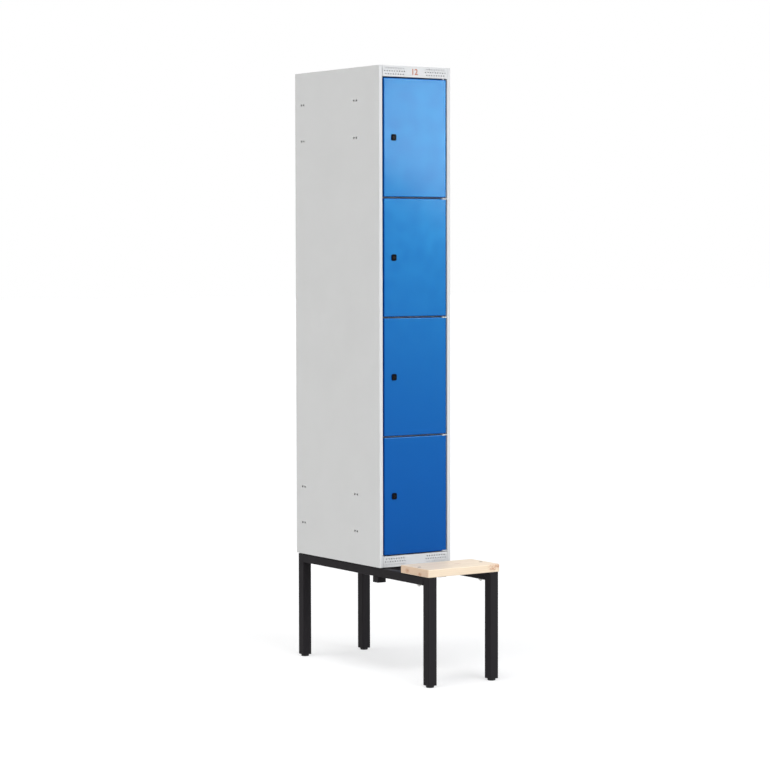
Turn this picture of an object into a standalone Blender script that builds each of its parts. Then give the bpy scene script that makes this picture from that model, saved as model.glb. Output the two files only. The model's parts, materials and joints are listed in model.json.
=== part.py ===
"""Steel locker with four compartments on a tube frame that carries a bench in front.

Frame of the model: metres, +Z up, the doors face -Y, +X is the right-hand side seen from the
front. The origin lies on the floor, under the middle of the outer box.
"""
import math

import bmesh
import bpy
from mathutils import Matrix, Vector

# Overall sizes of the locker body
LOCKER_WIDTH = 0.300
LOCKER_DEPTH = 0.550
LOCKER_HEIGHT = 1.740
COMPARTMENTS = 4

# Sheet steel and fits
SHEET = 0.001
FIT_GAP = 0.0003
CUT_OVERRUN = 0.004

# Front frame: the side panels fold round to make two stiles; a header and a plinth lie between
STILE_FACE = 0.014
STILE_DEPTH = 0.0173
BEND_RADIUS = 0.003
STOP_LIP = 0.008
BAND_HEIGHT = 0.0385
BAND_SLACK = 0.0015

# Shelves, roof and floor are shallow trays
TRAY_DEPTH = 0.015
SHELF_SETBACK = 0.024
SHELF_RISE = 0.005

# Air holes in the bands: two groups, each of three staggered rows
VENT_DIAMETER = 0.0045
VENT_PITCH = 0.0103
VENT_ROW_PITCH = 0.010
VENT_GROUP_OFFSET = 0.0857
VENT_ROWS = (8, 9, 8)

# Pairs of joining holes in the side panels
SIDE_HOLE_DIAMETER = 0.008
SIDE_HOLE_PAIR_PITCH = 0.016
SIDE_HOLE_FRONT_INSET = 0.152
SIDE_HOLE_REAR_INSET = 0.050
SIDE_HOLE_END_INSET = 0.115
SIDE_HOLE_STEP = 0.130

# Doors: folded pans that hang on pins at the right
DOOR_SIDE_GAP = 0.005
DOOR_END_GAP = 0.0025
DOOR_DEPTH = 0.016
DOOR_FOLD_RADIUS = 0.0025
DOOR_RETURN = 0.008
HINGE_INSET = 0.008
HINGE_SETBACK = 0.008

# Hinge lugs on the right stile, each with its pin
PIN_DIAMETER = 0.005
PIN_REACH = 0.006
PIN_HEAD_DIAMETER = 0.008
PIN_HEAD = 0.0015
LUG_THICKNESS = 0.003
LUG_SHIFT = 0.0027
LUG_REACH = 0.009
LUG_CORNER = 0.004
LUG_CLEARANCE = 0.001

# Stiffening channel behind each door face
CHANNEL_CROWN = 0.050
CHANNEL_FOOT = 0.012
CHANNEL_HEIGHT = 0.011
CHANNEL_END_INSET = 0.022

# Cylinder locks
LOCK_INSET = 0.041
BEZEL_WIDTH = 0.020
BEZEL_HEIGHT = 0.0225
BEZEL_DEPTH = 0.0025
BEZEL_CORNER = 0.005
BEZEL_EDGE = 0.0006
BARREL_DIAMETER = 0.015
NUT_ACROSS_FLATS = 0.021
NUT_THICKNESS = 0.003
PLUG_DIAMETER = 0.010
PLUG_PROUD = 0.0006
KEY_SLOT_WIDTH = 0.0014
KEY_SLOT_HEIGHT = 0.0065
KEY_SLOT_DEPTH = 0.004
CAM_CLEARANCE = 0.001
CAM_THICKNESS = 0.002
CAM_WIDTH = 0.014
CAM_OVERLAP = 0.006
CAM_CORNER = 0.005
TANG_WIDTH = 0.006

# Base frame of steel tube: square legs, and rails of the same width that are a little lower
TUBE = 0.034
RAIL_HEIGHT = 0.030
TUBE_WALL = 0.002
TUBE_RADIUS = 0.0025
BASE_SIDE_INSET = 0.004
BASE_HEIGHT = 0.377
BASE_FRONT_INSET = 0.004
BASE_REAR_INSET = 0.004
STUB_SETBACK = 0.019
STUB_LENGTH = 0.021
END_PLATE = 0.004

# Screw feet in the end plates of the legs
FOOT_DIAMETER = 0.028
FOOT_HEIGHT = 0.007
FOOT_CHAMFER = 0.0015
FOOT_STEM_DIAMETER = 0.008
FOOT_STEM_LENGTH = 0.026

# Rubber strips and bolts between the base and the locker
STRIP_HEIGHT = 0.003
STRIP_WIDTH = 0.024
STRIP_END_INSET = 0.006
BOLT_DIAMETER = 0.008
LOCKER_BOLT_HEAD_FLATS = 0.013
LOCKER_BOLT_HEAD = 0.0053
LOCKER_BOLT_REACH = 0.012
LOCKER_BOLT_FRONT_INSET = 0.075
LOCKER_BOLT_REAR_INSET = 0.060

# Bench board and its bolts
BENCH_REACH = 0.295
BENCH_DEPTH = 0.170
BENCH_THICKNESS = 0.027
BENCH_CORNER_RADIUS = 0.007
BENCH_EDGE_RADIUS = 0.003
BENCH_BOLT_HEAD_DIAMETER = 0.014
BENCH_BOLT_HEAD = 0.004
BENCH_BOLT_SUNK = 0.001
BENCH_NUT_FLATS = 0.013
BENCH_NUT = 0.0065
BENCH_BOLT_TAIL = 0.0015
SOCKET_FLATS = 0.005
SOCKET_DEPTH = 0.0025

# Sides of the round pieces
HOLE_SIDES = 8
SMALL_SIDES = 16
ROUND_SIDES = 24

# Places that follow from the sizes
TOTAL_DEPTH = LOCKER_DEPTH + BENCH_REACH
BENCH_FRONT = -TOTAL_DEPTH / 2
FRONT = BENCH_FRONT + BENCH_REACH
BACK = FRONT + LOCKER_DEPTH
HALF_WIDTH = LOCKER_WIDTH / 2
LOCKER_BOTTOM = BASE_HEIGHT + STRIP_HEIGHT
LOCKER_TOP = LOCKER_BOTTOM + LOCKER_HEIGHT
INNER_HALF = HALF_WIDTH - SHEET - FIT_GAP
OPENING_HALF = HALF_WIDTH - STILE_FACE
TOP_LINE = LOCKER_TOP - BAND_HEIGHT - BAND_SLACK
CELL = (LOCKER_HEIGHT - 2 * (BAND_HEIGHT + BAND_SLACK)) / COMPARTMENTS
STILE_REAR = FRONT + STILE_DEPTH
TRAY_FRONT = STILE_REAR + FIT_GAP
TRAY_REAR = BACK - SHEET - FIT_GAP
DOOR_HALF = OPENING_HALF - DOOR_SIDE_GAP
DOOR_HEIGHT = CELL - 2 * DOOR_END_GAP
DOOR_REAR = FRONT + DOOR_DEPTH
HINGE_X = DOOR_HALF - HINGE_INSET
HINGE_Y = FRONT + HINGE_SETBACK
LUG_SWING = math.hypot(LUG_REACH - LUG_CORNER, HINGE_SETBACK - LUG_CORNER) + LUG_CORNER
NOTCH_X = HINGE_X - LUG_SWING - LUG_CLEARANCE
LOCK_X = -DOOR_HALF + LOCK_INSET
CAM_FRONT = STILE_REAR + CAM_CLEARANCE
CAM_REAR = CAM_FRONT + CAM_THICKNESS
CAM_LENGTH = LOCK_X + OPENING_HALF - STOP_LIP + CAM_OVERLAP
BASE_HALF = HALF_WIDTH - BASE_SIDE_INSET
RAIL_X = BASE_HALF - TUBE / 2
RAIL_BOTTOM = BASE_HEIGHT - RAIL_HEIGHT
FRONT_LEG_Y = BENCH_FRONT + BASE_FRONT_INSET + TUBE / 2
REAR_LEG_Y = BACK - BASE_REAR_INSET - TUBE / 2
CROSSBAR_Y = FRONT + STUB_SETBACK + TUBE / 2
BENCH_MID_Y = BENCH_FRONT + BENCH_DEPTH / 2
BENCH_BOTTOM = BASE_HEIGHT + FIT_GAP
BENCH_TOP = BENCH_BOTTOM + BENCH_THICKNESS
BOLT_HOLE_DIAMETER = BOLT_DIAMETER + 2 * FIT_GAP
PIN_HOLE_DIAMETER = PIN_DIAMETER + 2 * FIT_GAP


def start_collections():
    """Empty the scene and make one collection for the parts and one for their tools."""
    for item in list(bpy.data.objects):
        bpy.data.objects.remove(item, do_unlink=True)
    parts = bpy.data.collections.new("locker_with_bench")
    tools = bpy.data.collections.new("shaping_tools")
    for collection in (parts, tools):
        bpy.context.scene.collection.children.link(collection)
    return parts, tools


PARTS, TOOLS = start_collections()


def make_material(name, colour, roughness, metallic=0.0):
    """A painted, plastic, wooden or bare metal finish."""
    material = bpy.data.materials.new(name)
    material.use_nodes = True
    shader = material.node_tree.nodes["Principled BSDF"]
    shader.inputs["Base Color"].default_value = (*colour, 1.0)
    shader.inputs["Roughness"].default_value = roughness
    shader.inputs["Metallic"].default_value = metallic
    return material


BODY_GREY = make_material("body_grey_paint", (0.62, 0.62, 0.61), 0.45)
DOOR_BLUE = make_material("door_blue_paint", (0.01, 0.16, 0.45), 0.40)
FRAME_BLACK = make_material("frame_black_paint", (0.025, 0.024, 0.027), 0.50)
BLACK_PLASTIC = make_material("black_plastic", (0.015, 0.015, 0.016), 0.45)
RUBBER = make_material("black_rubber", (0.02, 0.02, 0.02), 0.80)
ZINC = make_material("zinc_plate", (0.62, 0.63, 0.65), 0.35, 1.0)
DARK_ZINC = make_material("dark_zinc_plate", (0.05, 0.05, 0.055), 0.40, 1.0)
PINE = make_material("lacquered_pine", (0.78, 0.62, 0.42), 0.40)


def add_object(name, mesh, collection, centre):
    """Put a mesh in a collection with its origin at the given centre."""
    item = bpy.data.objects.new(name, mesh)
    item.location = centre
    collection.objects.link(item)
    return item


def mesh_from(name, work):
    """Turn a bmesh into a mesh."""
    bmesh.ops.recalc_face_normals(work, faces=work.faces)
    mesh = bpy.data.meshes.new(name)
    work.to_mesh(mesh)
    work.free()
    return mesh


def edges_along(work, axis):
    """The edges that run along one axis."""
    found = []
    for edge in work.edges:
        run = edge.verts[1].co - edge.verts[0].co
        if abs(run[axis]) > 0.99 * run.length:
            found.append(edge)
    return found


def round_edges(work, edges, radius, segments):
    """Round the given edges."""
    bmesh.ops.bevel(work, geom=edges, offset=radius, segments=segments,
                    affect="EDGES", profile=0.5, clamp_overlap=True)


def box_work(low, high):
    """A box about its own centre, and that centre."""
    low = Vector(low)
    high = Vector(high)
    work = bmesh.new()
    bmesh.ops.create_cube(work, size=1.0, matrix=Matrix.Diagonal((*(high - low), 1.0)))
    return work, (low + high) / 2


def box_part(name, low, high, material, axis=None, radius=0.0, segments=2):
    """A box between two corners; the edges along one axis can be rounded."""
    work, centre = box_work(low, high)
    if axis is not None:
        round_edges(work, edges_along(work, axis), radius, segments)
    part = add_object(name, mesh_from(name, work), PARTS, centre)
    part.data.materials.append(material)
    return part


def hide_tool(tool):
    """A shape that cuts or joins others is shown as a wire and left out of renders."""
    tool.hide_render = True
    tool.display_type = "WIRE"
    return tool


def box_tool(name, low, high):
    """A box-shaped tool between two corners."""
    work, centre = box_work(low, high)
    return hide_tool(add_object(name, mesh_from(name, work), TOOLS, centre))


def turn_to(axis):
    """The rotation that lays a cylinder's axis, +Z, along one axis."""
    turns = {0: Matrix.Rotation(math.radians(90), 4, "Y"),
             1: Matrix.Rotation(math.radians(-90), 4, "X"),
             2: Matrix.Identity(4)}
    return turns[axis]


def cylinder_work(work, centre, diameter, length, axis, sides):
    """Add a closed cylinder or prism to a bmesh."""
    place = Matrix.Translation(centre) @ turn_to(axis)
    bmesh.ops.create_cone(work, cap_ends=True, segments=sides, radius1=diameter / 2,
                          radius2=diameter / 2, depth=length, matrix=place)


def cylinder_tool(name, centres, diameter, length, axis, sides):
    """One tool that holds a cylinder at each centre."""
    work = bmesh.new()
    for centre in centres:
        cylinder_work(work, centre, diameter, length, axis, sides)
    return hide_tool(add_object(name, mesh_from(name, work), TOOLS, Vector()))


def combine(part, tool, operation):
    """Cut or join a part with another object."""
    modifier = part.modifiers.new(tool.name, "BOOLEAN")
    modifier.operation = operation
    modifier.solver = "EXACT"
    modifier.object = tool
    return part


def cut(part, tool):
    """Take a tool's shape out of a part."""
    return combine(part, tool, "DIFFERENCE")


def join(part, tool):
    """Fuse a tool's shape to a part."""
    return combine(part, tool, "UNION")


def shade_round(part):
    """Shade the round faces smooth and keep the edges sharp."""
    part.data.shade_smooth()
    part.data.set_sharp_from_angle(angle=math.radians(35))
    return part


def across_corners(flats):
    """The diameter over the corners of a hexagon."""
    return flats / math.cos(math.radians(30))


def carry(empty, pieces):
    """Parent pieces to the empty on their axis and leave them where they are."""
    bpy.context.view_layer.update()
    for piece in pieces:
        piece.parent = empty
        piece.matrix_parent_inverse = empty.matrix_world.inverted()


def axis_empty(name, place):
    """An empty that marks a joint's axis."""
    return add_object(name, None, PARTS, place)


# Locker body

def side_hole_centres(x):
    """Centres of the joining holes in the side panel at this x."""
    heights = []
    for step in range(2):
        inset = SIDE_HOLE_END_INSET + step * SIDE_HOLE_STEP
        heights += [LOCKER_BOTTOM + inset, LOCKER_TOP - inset]
    centres = []
    for middle in (FRONT + SIDE_HOLE_FRONT_INSET, BACK - SIDE_HOLE_REAR_INSET):
        for y in (middle - SIDE_HOLE_PAIR_PITCH / 2, middle + SIDE_HOLE_PAIR_PITCH / 2):
            centres += [(x, y, z) for z in heights]
    return centres


def bent_box(low, high, side, radius):
    """A box whose front edge on its outer side (-1 left, 1 right) is rounded, and its centre."""
    work, centre = box_work(low, high)
    edges = [edge for edge in edges_along(work, 2)
             if edge.verts[0].co.x * side > 0 and edge.verts[0].co.y < 0]
    round_edges(work, edges, radius, 3)
    return work, centre


def side_panel(name, side):
    """A side panel that folds round its front edge to make a stile as deep as the door frame."""
    ends = sorted((side * HALF_WIDTH, side * OPENING_HALF))
    work, centre = bent_box((ends[0], FRONT, LOCKER_BOTTOM), (ends[1], BACK, LOCKER_TOP),
                            side, BEND_RADIUS)
    panel = add_object(name, mesh_from(name, work), PARTS, centre)
    panel.data.materials.append(BODY_GREY)
    shade_round(panel)
    low_z = LOCKER_BOTTOM - CUT_OVERRUN
    high_z = LOCKER_TOP + CUT_OVERRUN
    ends = sorted((side * (HALF_WIDTH - SHEET), side * (OPENING_HALF + SHEET)))
    work, centre = bent_box((ends[0], FRONT + SHEET, low_z), (ends[1], BACK + CUT_OVERRUN, high_z),
                            side, BEND_RADIUS - SHEET)
    cut(panel, hide_tool(add_object(name + "_hollow", mesh_from(name, work), TOOLS, centre)))
    ends = sorted((side * (OPENING_HALF + 2 * SHEET), side * (OPENING_HALF - CUT_OVERRUN)))
    cut(panel, box_tool(name + "_rear", (ends[0], STILE_REAR, low_z),
                        (ends[1], BACK + CUT_OVERRUN, high_z)))
    cut(panel, cylinder_tool(name + "_holes", side_hole_centres(side * HALF_WIDTH),
                             SIDE_HOLE_DIAMETER, 2 * CUT_OVERRUN, 0, HOLE_SIDES))
    return panel


def side_panels():
    """Both side panels; the left one has the lip that the doors close against."""
    side_panel("side_panel_right", 1)
    left = side_panel("side_panel_left", -1)
    lip = box_tool("stop_lip",
                   (-OPENING_HALF - SHEET, STILE_REAR - SHEET, LOCKER_BOTTOM + BAND_HEIGHT + FIT_GAP),
                   (-OPENING_HALF + STOP_LIP, STILE_REAR, LOCKER_TOP - BAND_HEIGHT - FIT_GAP))
    join(left, lip)


def back_panel():
    """Back panel between the side panels."""
    box_part("back_panel", (-INNER_HALF, BACK - SHEET, LOCKER_BOTTOM),
             (INNER_HALF, BACK, LOCKER_TOP), BODY_GREY)


def tray(name, front, bottom, top, open_side):
    """A flat tray with flanges all round, open below (-1) or above (+1)."""
    part = box_part(name, (-INNER_HALF, front, bottom), (INNER_HALF, TRAY_REAR, top), BODY_GREY)
    low = [-INNER_HALF + SHEET, front + SHEET, bottom - CUT_OVERRUN]
    high = [INNER_HALF - SHEET, TRAY_REAR - SHEET, top - SHEET]
    if open_side > 0:
        low[2] = bottom + SHEET
        high[2] = top + CUT_OVERRUN
    return cut(part, box_tool(name + "_hollow", low, high))


def locker_bolt_centres():
    """Where the bolts go through the floor into the rails."""
    rows = (FRONT + LOCKER_BOLT_FRONT_INSET, BACK - LOCKER_BOLT_REAR_INSET)
    return [(side * RAIL_X, y) for side in (-1, 1) for y in rows]


def roof_floor_and_shelves():
    """Roof and floor trays, and the shelves that part the compartments."""
    tray("roof_panel", TRAY_FRONT, LOCKER_TOP - TRAY_DEPTH, LOCKER_TOP, -1)
    floor = tray("floor_panel", TRAY_FRONT, LOCKER_BOTTOM, LOCKER_BOTTOM + TRAY_DEPTH, 1)
    centres = [(x, y, LOCKER_BOTTOM) for x, y in locker_bolt_centres()]
    cut(floor, cylinder_tool("floor_bolt_holes", centres, BOLT_HOLE_DIAMETER,
                               2 * CUT_OVERRUN, 2, SMALL_SIDES))
    for number in range(1, COMPARTMENTS):
        top = cell_boundary(number) + SHELF_RISE
        tray(f"shelf_{number}", FRONT + SHELF_SETBACK, top - TRAY_DEPTH, top, -1)


def vent_centres(middle):
    """Centres of the air holes in a band whose middle is at this height."""
    centres = []
    for side in (-1, 1):
        for row, count in enumerate(VENT_ROWS):
            z = middle + (1 - row) * VENT_ROW_PITCH
            for step in range(count):
                x = side * VENT_GROUP_OFFSET + (step - (count - 1) / 2) * VENT_PITCH
                centres.append((x, FRONT, z))
    return centres


def band(name, bottom):
    """A header or plinth band: a channel open at the rear, with air holes in its face."""
    half = OPENING_HALF - FIT_GAP
    top = bottom + BAND_HEIGHT
    part = box_part(name, (-half, FRONT, bottom), (half, STILE_REAR, top), BODY_GREY)
    cut(part, box_tool(name + "_hollow",
                         (-half - CUT_OVERRUN, FRONT + SHEET, bottom + SHEET),
                         (half + CUT_OVERRUN, STILE_REAR + CUT_OVERRUN, top - SHEET)))
    cut(part, cylinder_tool(name + "_vents", vent_centres((bottom + top) / 2),
                            VENT_DIAMETER, 2 * CUT_OVERRUN, 1, HOLE_SIDES))
    return part


def bands():
    """Header and plinth; the header's lower flange has the hole for the top hinge pin."""
    band("plinth_band", LOCKER_BOTTOM)
    header = band("header_band", LOCKER_TOP - BAND_HEIGHT)
    cut(header, cylinder_tool("header_pin_hole",
                              [(HINGE_X, HINGE_Y, LOCKER_TOP - BAND_HEIGHT)],
                              PIN_HOLE_DIAMETER, 2 * CUT_OVERRUN, 2, SMALL_SIDES))


def cell_boundary(number):
    """Height of the line under compartment number, counted from the top; 0 is the top line."""
    return TOP_LINE - number * CELL


def lug_middle(number):
    """Height of a hinge lug's middle: just under its gap, and just over the gap at the plinth."""
    shift = LUG_SHIFT if number == COMPARTMENTS else -LUG_SHIFT
    return cell_boundary(number) + shift


def hinge_lug(number):
    """A lug on the right stile, with the pin of the doors above and below it."""
    name = f"hinge_lug_{number}"
    line = cell_boundary(number)
    z = lug_middle(number)
    half = LUG_THICKNESS / 2
    right = OPENING_HALF - FIT_GAP
    low = (HINGE_X - LUG_REACH, FRONT, z - half)
    high = (right, FRONT + 2 * HINGE_SETBACK, z + half)
    work, centre = box_work(low, high)
    free = [edge for edge in edges_along(work, 2) if edge.verts[0].co.x < 0]
    round_edges(work, free, LUG_CORNER, 3)
    lug = add_object(name, mesh_from(name, work), PARTS, centre)
    lug.data.materials.append(BODY_GREY)
    shade_round(lug)
    top = max(line + DOOR_END_GAP, z + half + LUG_CLEARANCE) + PIN_REACH
    bottom = z - half - LUG_CLEARANCE - PIN_REACH
    if number == COMPARTMENTS:
        bottom = z
    join(lug, cylinder_tool(name + "_pin", [(HINGE_X, HINGE_Y, (top + bottom) / 2)],
                            PIN_DIAMETER, top - bottom, 2, SMALL_SIDES))
    return lug


def top_hinge_pin():
    """The headed pin that hangs through the header's lower flange into the highest door."""
    flange_top = LOCKER_TOP - BAND_HEIGHT + SHEET + FIT_GAP
    tip = cell_boundary(0) - DOOR_END_GAP - PIN_REACH
    outline = [(0.0, PIN_HEAD), (PIN_HEAD_DIAMETER / 2, PIN_HEAD), (PIN_HEAD_DIAMETER / 2, 0.0),
               (PIN_DIAMETER / 2, 0.0), (PIN_DIAMETER / 2, tip - flange_top),
               (0.0, tip - flange_top)]
    screw_part("hinge_pin_top", outline, (HINGE_X, HINGE_Y, flange_top), ZINC, SMALL_SIDES)


# Doors and locks

def door_notches(number):
    """The notches in a door's right-hand corners round the lugs: (low, high, floor height)."""
    notches = []
    half = LUG_THICKNESS / 2 + LUG_CLEARANCE
    if number > 1:
        floor = lug_middle(number - 1) - half
        notches.append((floor, cell_boundary(number - 1), floor))
    if number == COMPARTMENTS:
        floor = lug_middle(number) + half
        notches.append((cell_boundary(number), floor, floor))
    return notches


def door_pan(number, bottom, top):
    """A door: a sheet folded back on all four sides and in again along its two long sides."""
    name = f"door_{number}"
    work, centre = box_work((-DOOR_HALF, FRONT, bottom), (DOOR_HALF, DOOR_REAR, top))
    front_edges = [edge for edge in work.edges if all(vert.co.y < 0 for vert in edge.verts)]
    round_edges(work, front_edges + edges_along(work, 1), DOOR_FOLD_RADIUS, 3)
    door = add_object(name, mesh_from(name, work), PARTS, centre)
    door.data.materials.append(DOOR_BLUE)
    shade_round(door)
    hollow = box_tool(name + "_hollow", (-DOOR_HALF + SHEET, FRONT + SHEET, bottom + SHEET),
                      (DOOR_HALF - SHEET, DOOR_REAR - SHEET, top - SHEET))
    open_half = DOOR_HALF - DOOR_RETURN
    join(hollow, box_tool(name + "_open_rear", (-open_half, FRONT + 2 * SHEET, bottom + SHEET),
                          (open_half, DOOR_REAR + CUT_OVERRUN, top - SHEET)))
    pin_heights = [bottom, top]
    for place, (low, high, floor) in enumerate(door_notches(number)):
        wall = box_tool(f"{name}_notch_wall_{place}",
                        (NOTCH_X - SHEET, FRONT - CUT_OVERRUN, low - SHEET),
                        (DOOR_HALF + CUT_OVERRUN, DOOR_REAR + 2 * CUT_OVERRUN, high + SHEET))
        cut(hollow, wall)
        pin_heights = [height for height in pin_heights if abs(height - floor) > DOOR_END_GAP * 2]
        pin_heights.append(floor)
    cut(door, hollow)
    for place, (low, high, floor) in enumerate(door_notches(number)):
        cut(door, box_tool(f"{name}_notch_{place}", (NOTCH_X, FRONT - CUT_OVERRUN, low),
                           (DOOR_HALF + CUT_OVERRUN, DOOR_REAR + CUT_OVERRUN, high)))
    cut(door, cylinder_tool(name + "_lock_hole", [(LOCK_X, FRONT, centre.z)],
                            BARREL_DIAMETER + 2 * FIT_GAP, 2 * CUT_OVERRUN, 1, ROUND_SIDES))
    cut(door, cylinder_tool(name + "_pin_holes",
                            [(HINGE_X, HINGE_Y, height) for height in pin_heights],
                            PIN_HOLE_DIAMETER, 2 * CUT_OVERRUN, 2, SMALL_SIDES))
    return door


def door_channel(number, bottom, top):
    """The stiffening channel behind the door face, with a foot along each side."""
    name = f"door_{number}_channel"
    front = FRONT + SHEET + FIT_GAP
    foot_half = CHANNEL_CROWN / 2 + CHANNEL_FOOT
    low = bottom + CHANNEL_END_INSET
    high = top - CHANNEL_END_INSET
    channel = box_part(name, (-foot_half, front, low), (foot_half, front + CHANNEL_HEIGHT, high),
                       DOOR_BLUE)
    crown_half = CHANNEL_CROWN / 2
    cut(channel, box_tool(name + "_hollow",
                            (-crown_half + SHEET, front - CUT_OVERRUN, low - CUT_OVERRUN),
                            (crown_half - SHEET, front + CHANNEL_HEIGHT - SHEET,
                             high + CUT_OVERRUN)))
    for side in (-1, 1):
        step = sorted((side * crown_half, side * (foot_half + CUT_OVERRUN)))
        cut(channel, box_tool(f"{name}_step_{side}",
                                (step[0], front + SHEET, low - CUT_OVERRUN),
                                (step[1], front + CHANNEL_HEIGHT + CUT_OVERRUN,
                                 high + CUT_OVERRUN)))
    return channel


def lock_case(number, z):
    """Lock case: a bezel in front of the door, a barrel through it, and its nut behind."""
    name = f"lock_{number}_case"
    bezel_back = FRONT - FIT_GAP
    bezel_front = bezel_back - BEZEL_DEPTH
    barrel_rear = CAM_FRONT - FIT_GAP
    work, centre = box_work((LOCK_X - BEZEL_WIDTH / 2, bezel_front, z - BEZEL_HEIGHT / 2),
                            (LOCK_X + BEZEL_WIDTH / 2, bezel_back, z + BEZEL_HEIGHT / 2))
    round_edges(work, edges_along(work, 1), BEZEL_CORNER, 3)
    front_face = min(vert.co.y for vert in work.verts)
    rim = [edge for edge in work.edges
           if all(abs(vert.co.y - front_face) < FIT_GAP for vert in edge.verts)]
    round_edges(work, rim, BEZEL_EDGE, 1)
    case = add_object(name, mesh_from(name, work), PARTS, centre)
    case.data.materials.append(BLACK_PLASTIC)
    shade_round(case)
    middle = (LOCK_X, (bezel_front + barrel_rear) / 2 + BEZEL_DEPTH / 2, z)
    barrel_length = barrel_rear - bezel_front - BEZEL_DEPTH
    join(case, cylinder_tool(name + "_barrel", [middle], BARREL_DIAMETER,
                               barrel_length + BEZEL_EDGE, 1, ROUND_SIDES))
    nut_middle = (LOCK_X, FRONT + SHEET + FIT_GAP + NUT_THICKNESS / 2, z)
    join(case, cylinder_tool(name + "_nut", [nut_middle], across_corners(NUT_ACROSS_FLATS),
                             NUT_THICKNESS, 1, 6))
    cut(case, cylinder_tool(name + "_bore", [middle], PLUG_DIAMETER + 2 * FIT_GAP,
                              barrel_length + 2 * BEZEL_DEPTH + CUT_OVERRUN, 1, ROUND_SIDES))
    return case


def lock_plug(number, z):
    """The plug that the key turns, with its key slot and the square tang for the cam."""
    name = f"lock_{number}_plug"
    front = FRONT - FIT_GAP - BEZEL_DEPTH - PLUG_PROUD
    rear = CAM_FRONT - FIT_GAP
    work = bmesh.new()
    cylinder_work(work, (0.0, 0.0, 0.0), PLUG_DIAMETER, rear - front, 1, ROUND_SIDES)
    plug = add_object(name, mesh_from(name, work), PARTS, (LOCK_X, (front + rear) / 2, z))
    plug.data.materials.append(DARK_ZINC)
    shade_round(plug)
    half = TANG_WIDTH / 2
    join(plug, box_tool(name + "_tang", (LOCK_X - half, rear - CUT_OVERRUN, z - half),
                          (LOCK_X + half, CAM_REAR, z + half)))
    cut(plug, box_tool(name + "_key_slot",
                         (LOCK_X - KEY_SLOT_WIDTH / 2, front - CUT_OVERRUN,
                          z - KEY_SLOT_HEIGHT / 2),
                         (LOCK_X + KEY_SLOT_WIDTH / 2, front + KEY_SLOT_DEPTH,
                          z + KEY_SLOT_HEIGHT / 2)))
    return plug


def lock_cam(number, z):
    """The cam on the plug's tang. It hangs down when unlocked and turns behind the stop lip."""
    name = f"lock_{number}_cam"
    half = CAM_WIDTH / 2
    cam = box_part(name, (LOCK_X - half, CAM_FRONT, z - CAM_LENGTH),
                   (LOCK_X + half, CAM_REAR, z + half), ZINC, axis=1, radius=CAM_CORNER, segments=3)
    tang = TANG_WIDTH / 2 + FIT_GAP
    cut(cam, box_tool(name + "_hole", (LOCK_X - tang, CAM_FRONT - CUT_OVERRUN, z - tang),
                        (LOCK_X + tang, CAM_REAR + CUT_OVERRUN, z + tang)))
    return cam


def doors():
    """Hang each door, with its channel and lock, on the empty of its hinge."""
    for number in range(1, COMPARTMENTS + 1):
        bottom = cell_boundary(number) + DOOR_END_GAP
        top = bottom + DOOR_HEIGHT
        z = (bottom + top) / 2
        hinge = axis_empty(f"hinge_axis_{number}", (HINGE_X, HINGE_Y, z))
        lock = axis_empty(f"lock_axis_{number}", (LOCK_X, CAM_FRONT, z))
        carry(hinge, [door_pan(number, bottom, top), door_channel(number, bottom, top),
                      lock_case(number, z), lock])
        carry(lock, [lock_plug(number, z), lock_cam(number, z)])


# Base frame

def tube_part(name, low, high, axis):
    """A square tube along one axis, open at both ends."""
    part = box_part(name, low, high, FRAME_BLACK, axis=axis, radius=TUBE_RADIUS)
    shade_round(part)
    inner_low = [value + TUBE_WALL for value in low]
    inner_high = [value - TUBE_WALL for value in high]
    inner_low[axis] = low[axis] - CUT_OVERRUN
    inner_high[axis] = high[axis] + CUT_OVERRUN
    return cut(part, box_tool(name + "_hollow", inner_low, inner_high))


def end_plate(part, x, y, bottom):
    """Close the lower end of an upright tube with a welded plate."""
    reach = (TUBE - TUBE_WALL) / 2
    join(part, box_tool(part.name + "_end_plate", (x - reach, y - reach, bottom),
                        (x + reach, y + reach, bottom + END_PLATE)))


def legs_and_feet():
    """Legs with a threaded plate in their lower ends, and the screw feet in the plates."""
    half = TUBE / 2
    bottom = FOOT_HEIGHT + FIT_GAP
    for end, y in (("front", FRONT_LEG_Y), ("rear", REAR_LEG_Y)):
        for side, x in (("left", -RAIL_X), ("right", RAIL_X)):
            leg = tube_part(f"leg_{end}_{side}", (x - half, y - half, bottom),
                            (x + half, y + half, BASE_HEIGHT), 2)
            end_plate(leg, x, y, bottom)
            cut(leg, cylinder_tool(leg.name + "_thread", [(x, y, bottom)],
                                   FOOT_STEM_DIAMETER + 2 * FIT_GAP,
                                   2 * (END_PLATE + CUT_OVERRUN), 2, SMALL_SIDES))
            foot(f"foot_{end}_{side}", x, y)


def foot(name, x, y):
    """A screw foot: a round pad with a threaded stem."""
    radius = FOOT_DIAMETER / 2
    stem = FOOT_STEM_DIAMETER / 2
    outline = [(0.0, FOOT_HEIGHT + FOOT_STEM_LENGTH), (stem, FOOT_HEIGHT + FOOT_STEM_LENGTH),
               (stem, FOOT_HEIGHT), (radius - FOOT_CHAMFER, FOOT_HEIGHT),
               (radius, FOOT_HEIGHT - FOOT_CHAMFER), (radius, FOOT_CHAMFER),
               (radius - FOOT_CHAMFER, 0.0), (0.0, 0.0)]
    screw_part(name, outline, (x, y, 0.0), BLACK_PLASTIC, SMALL_SIDES)


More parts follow.
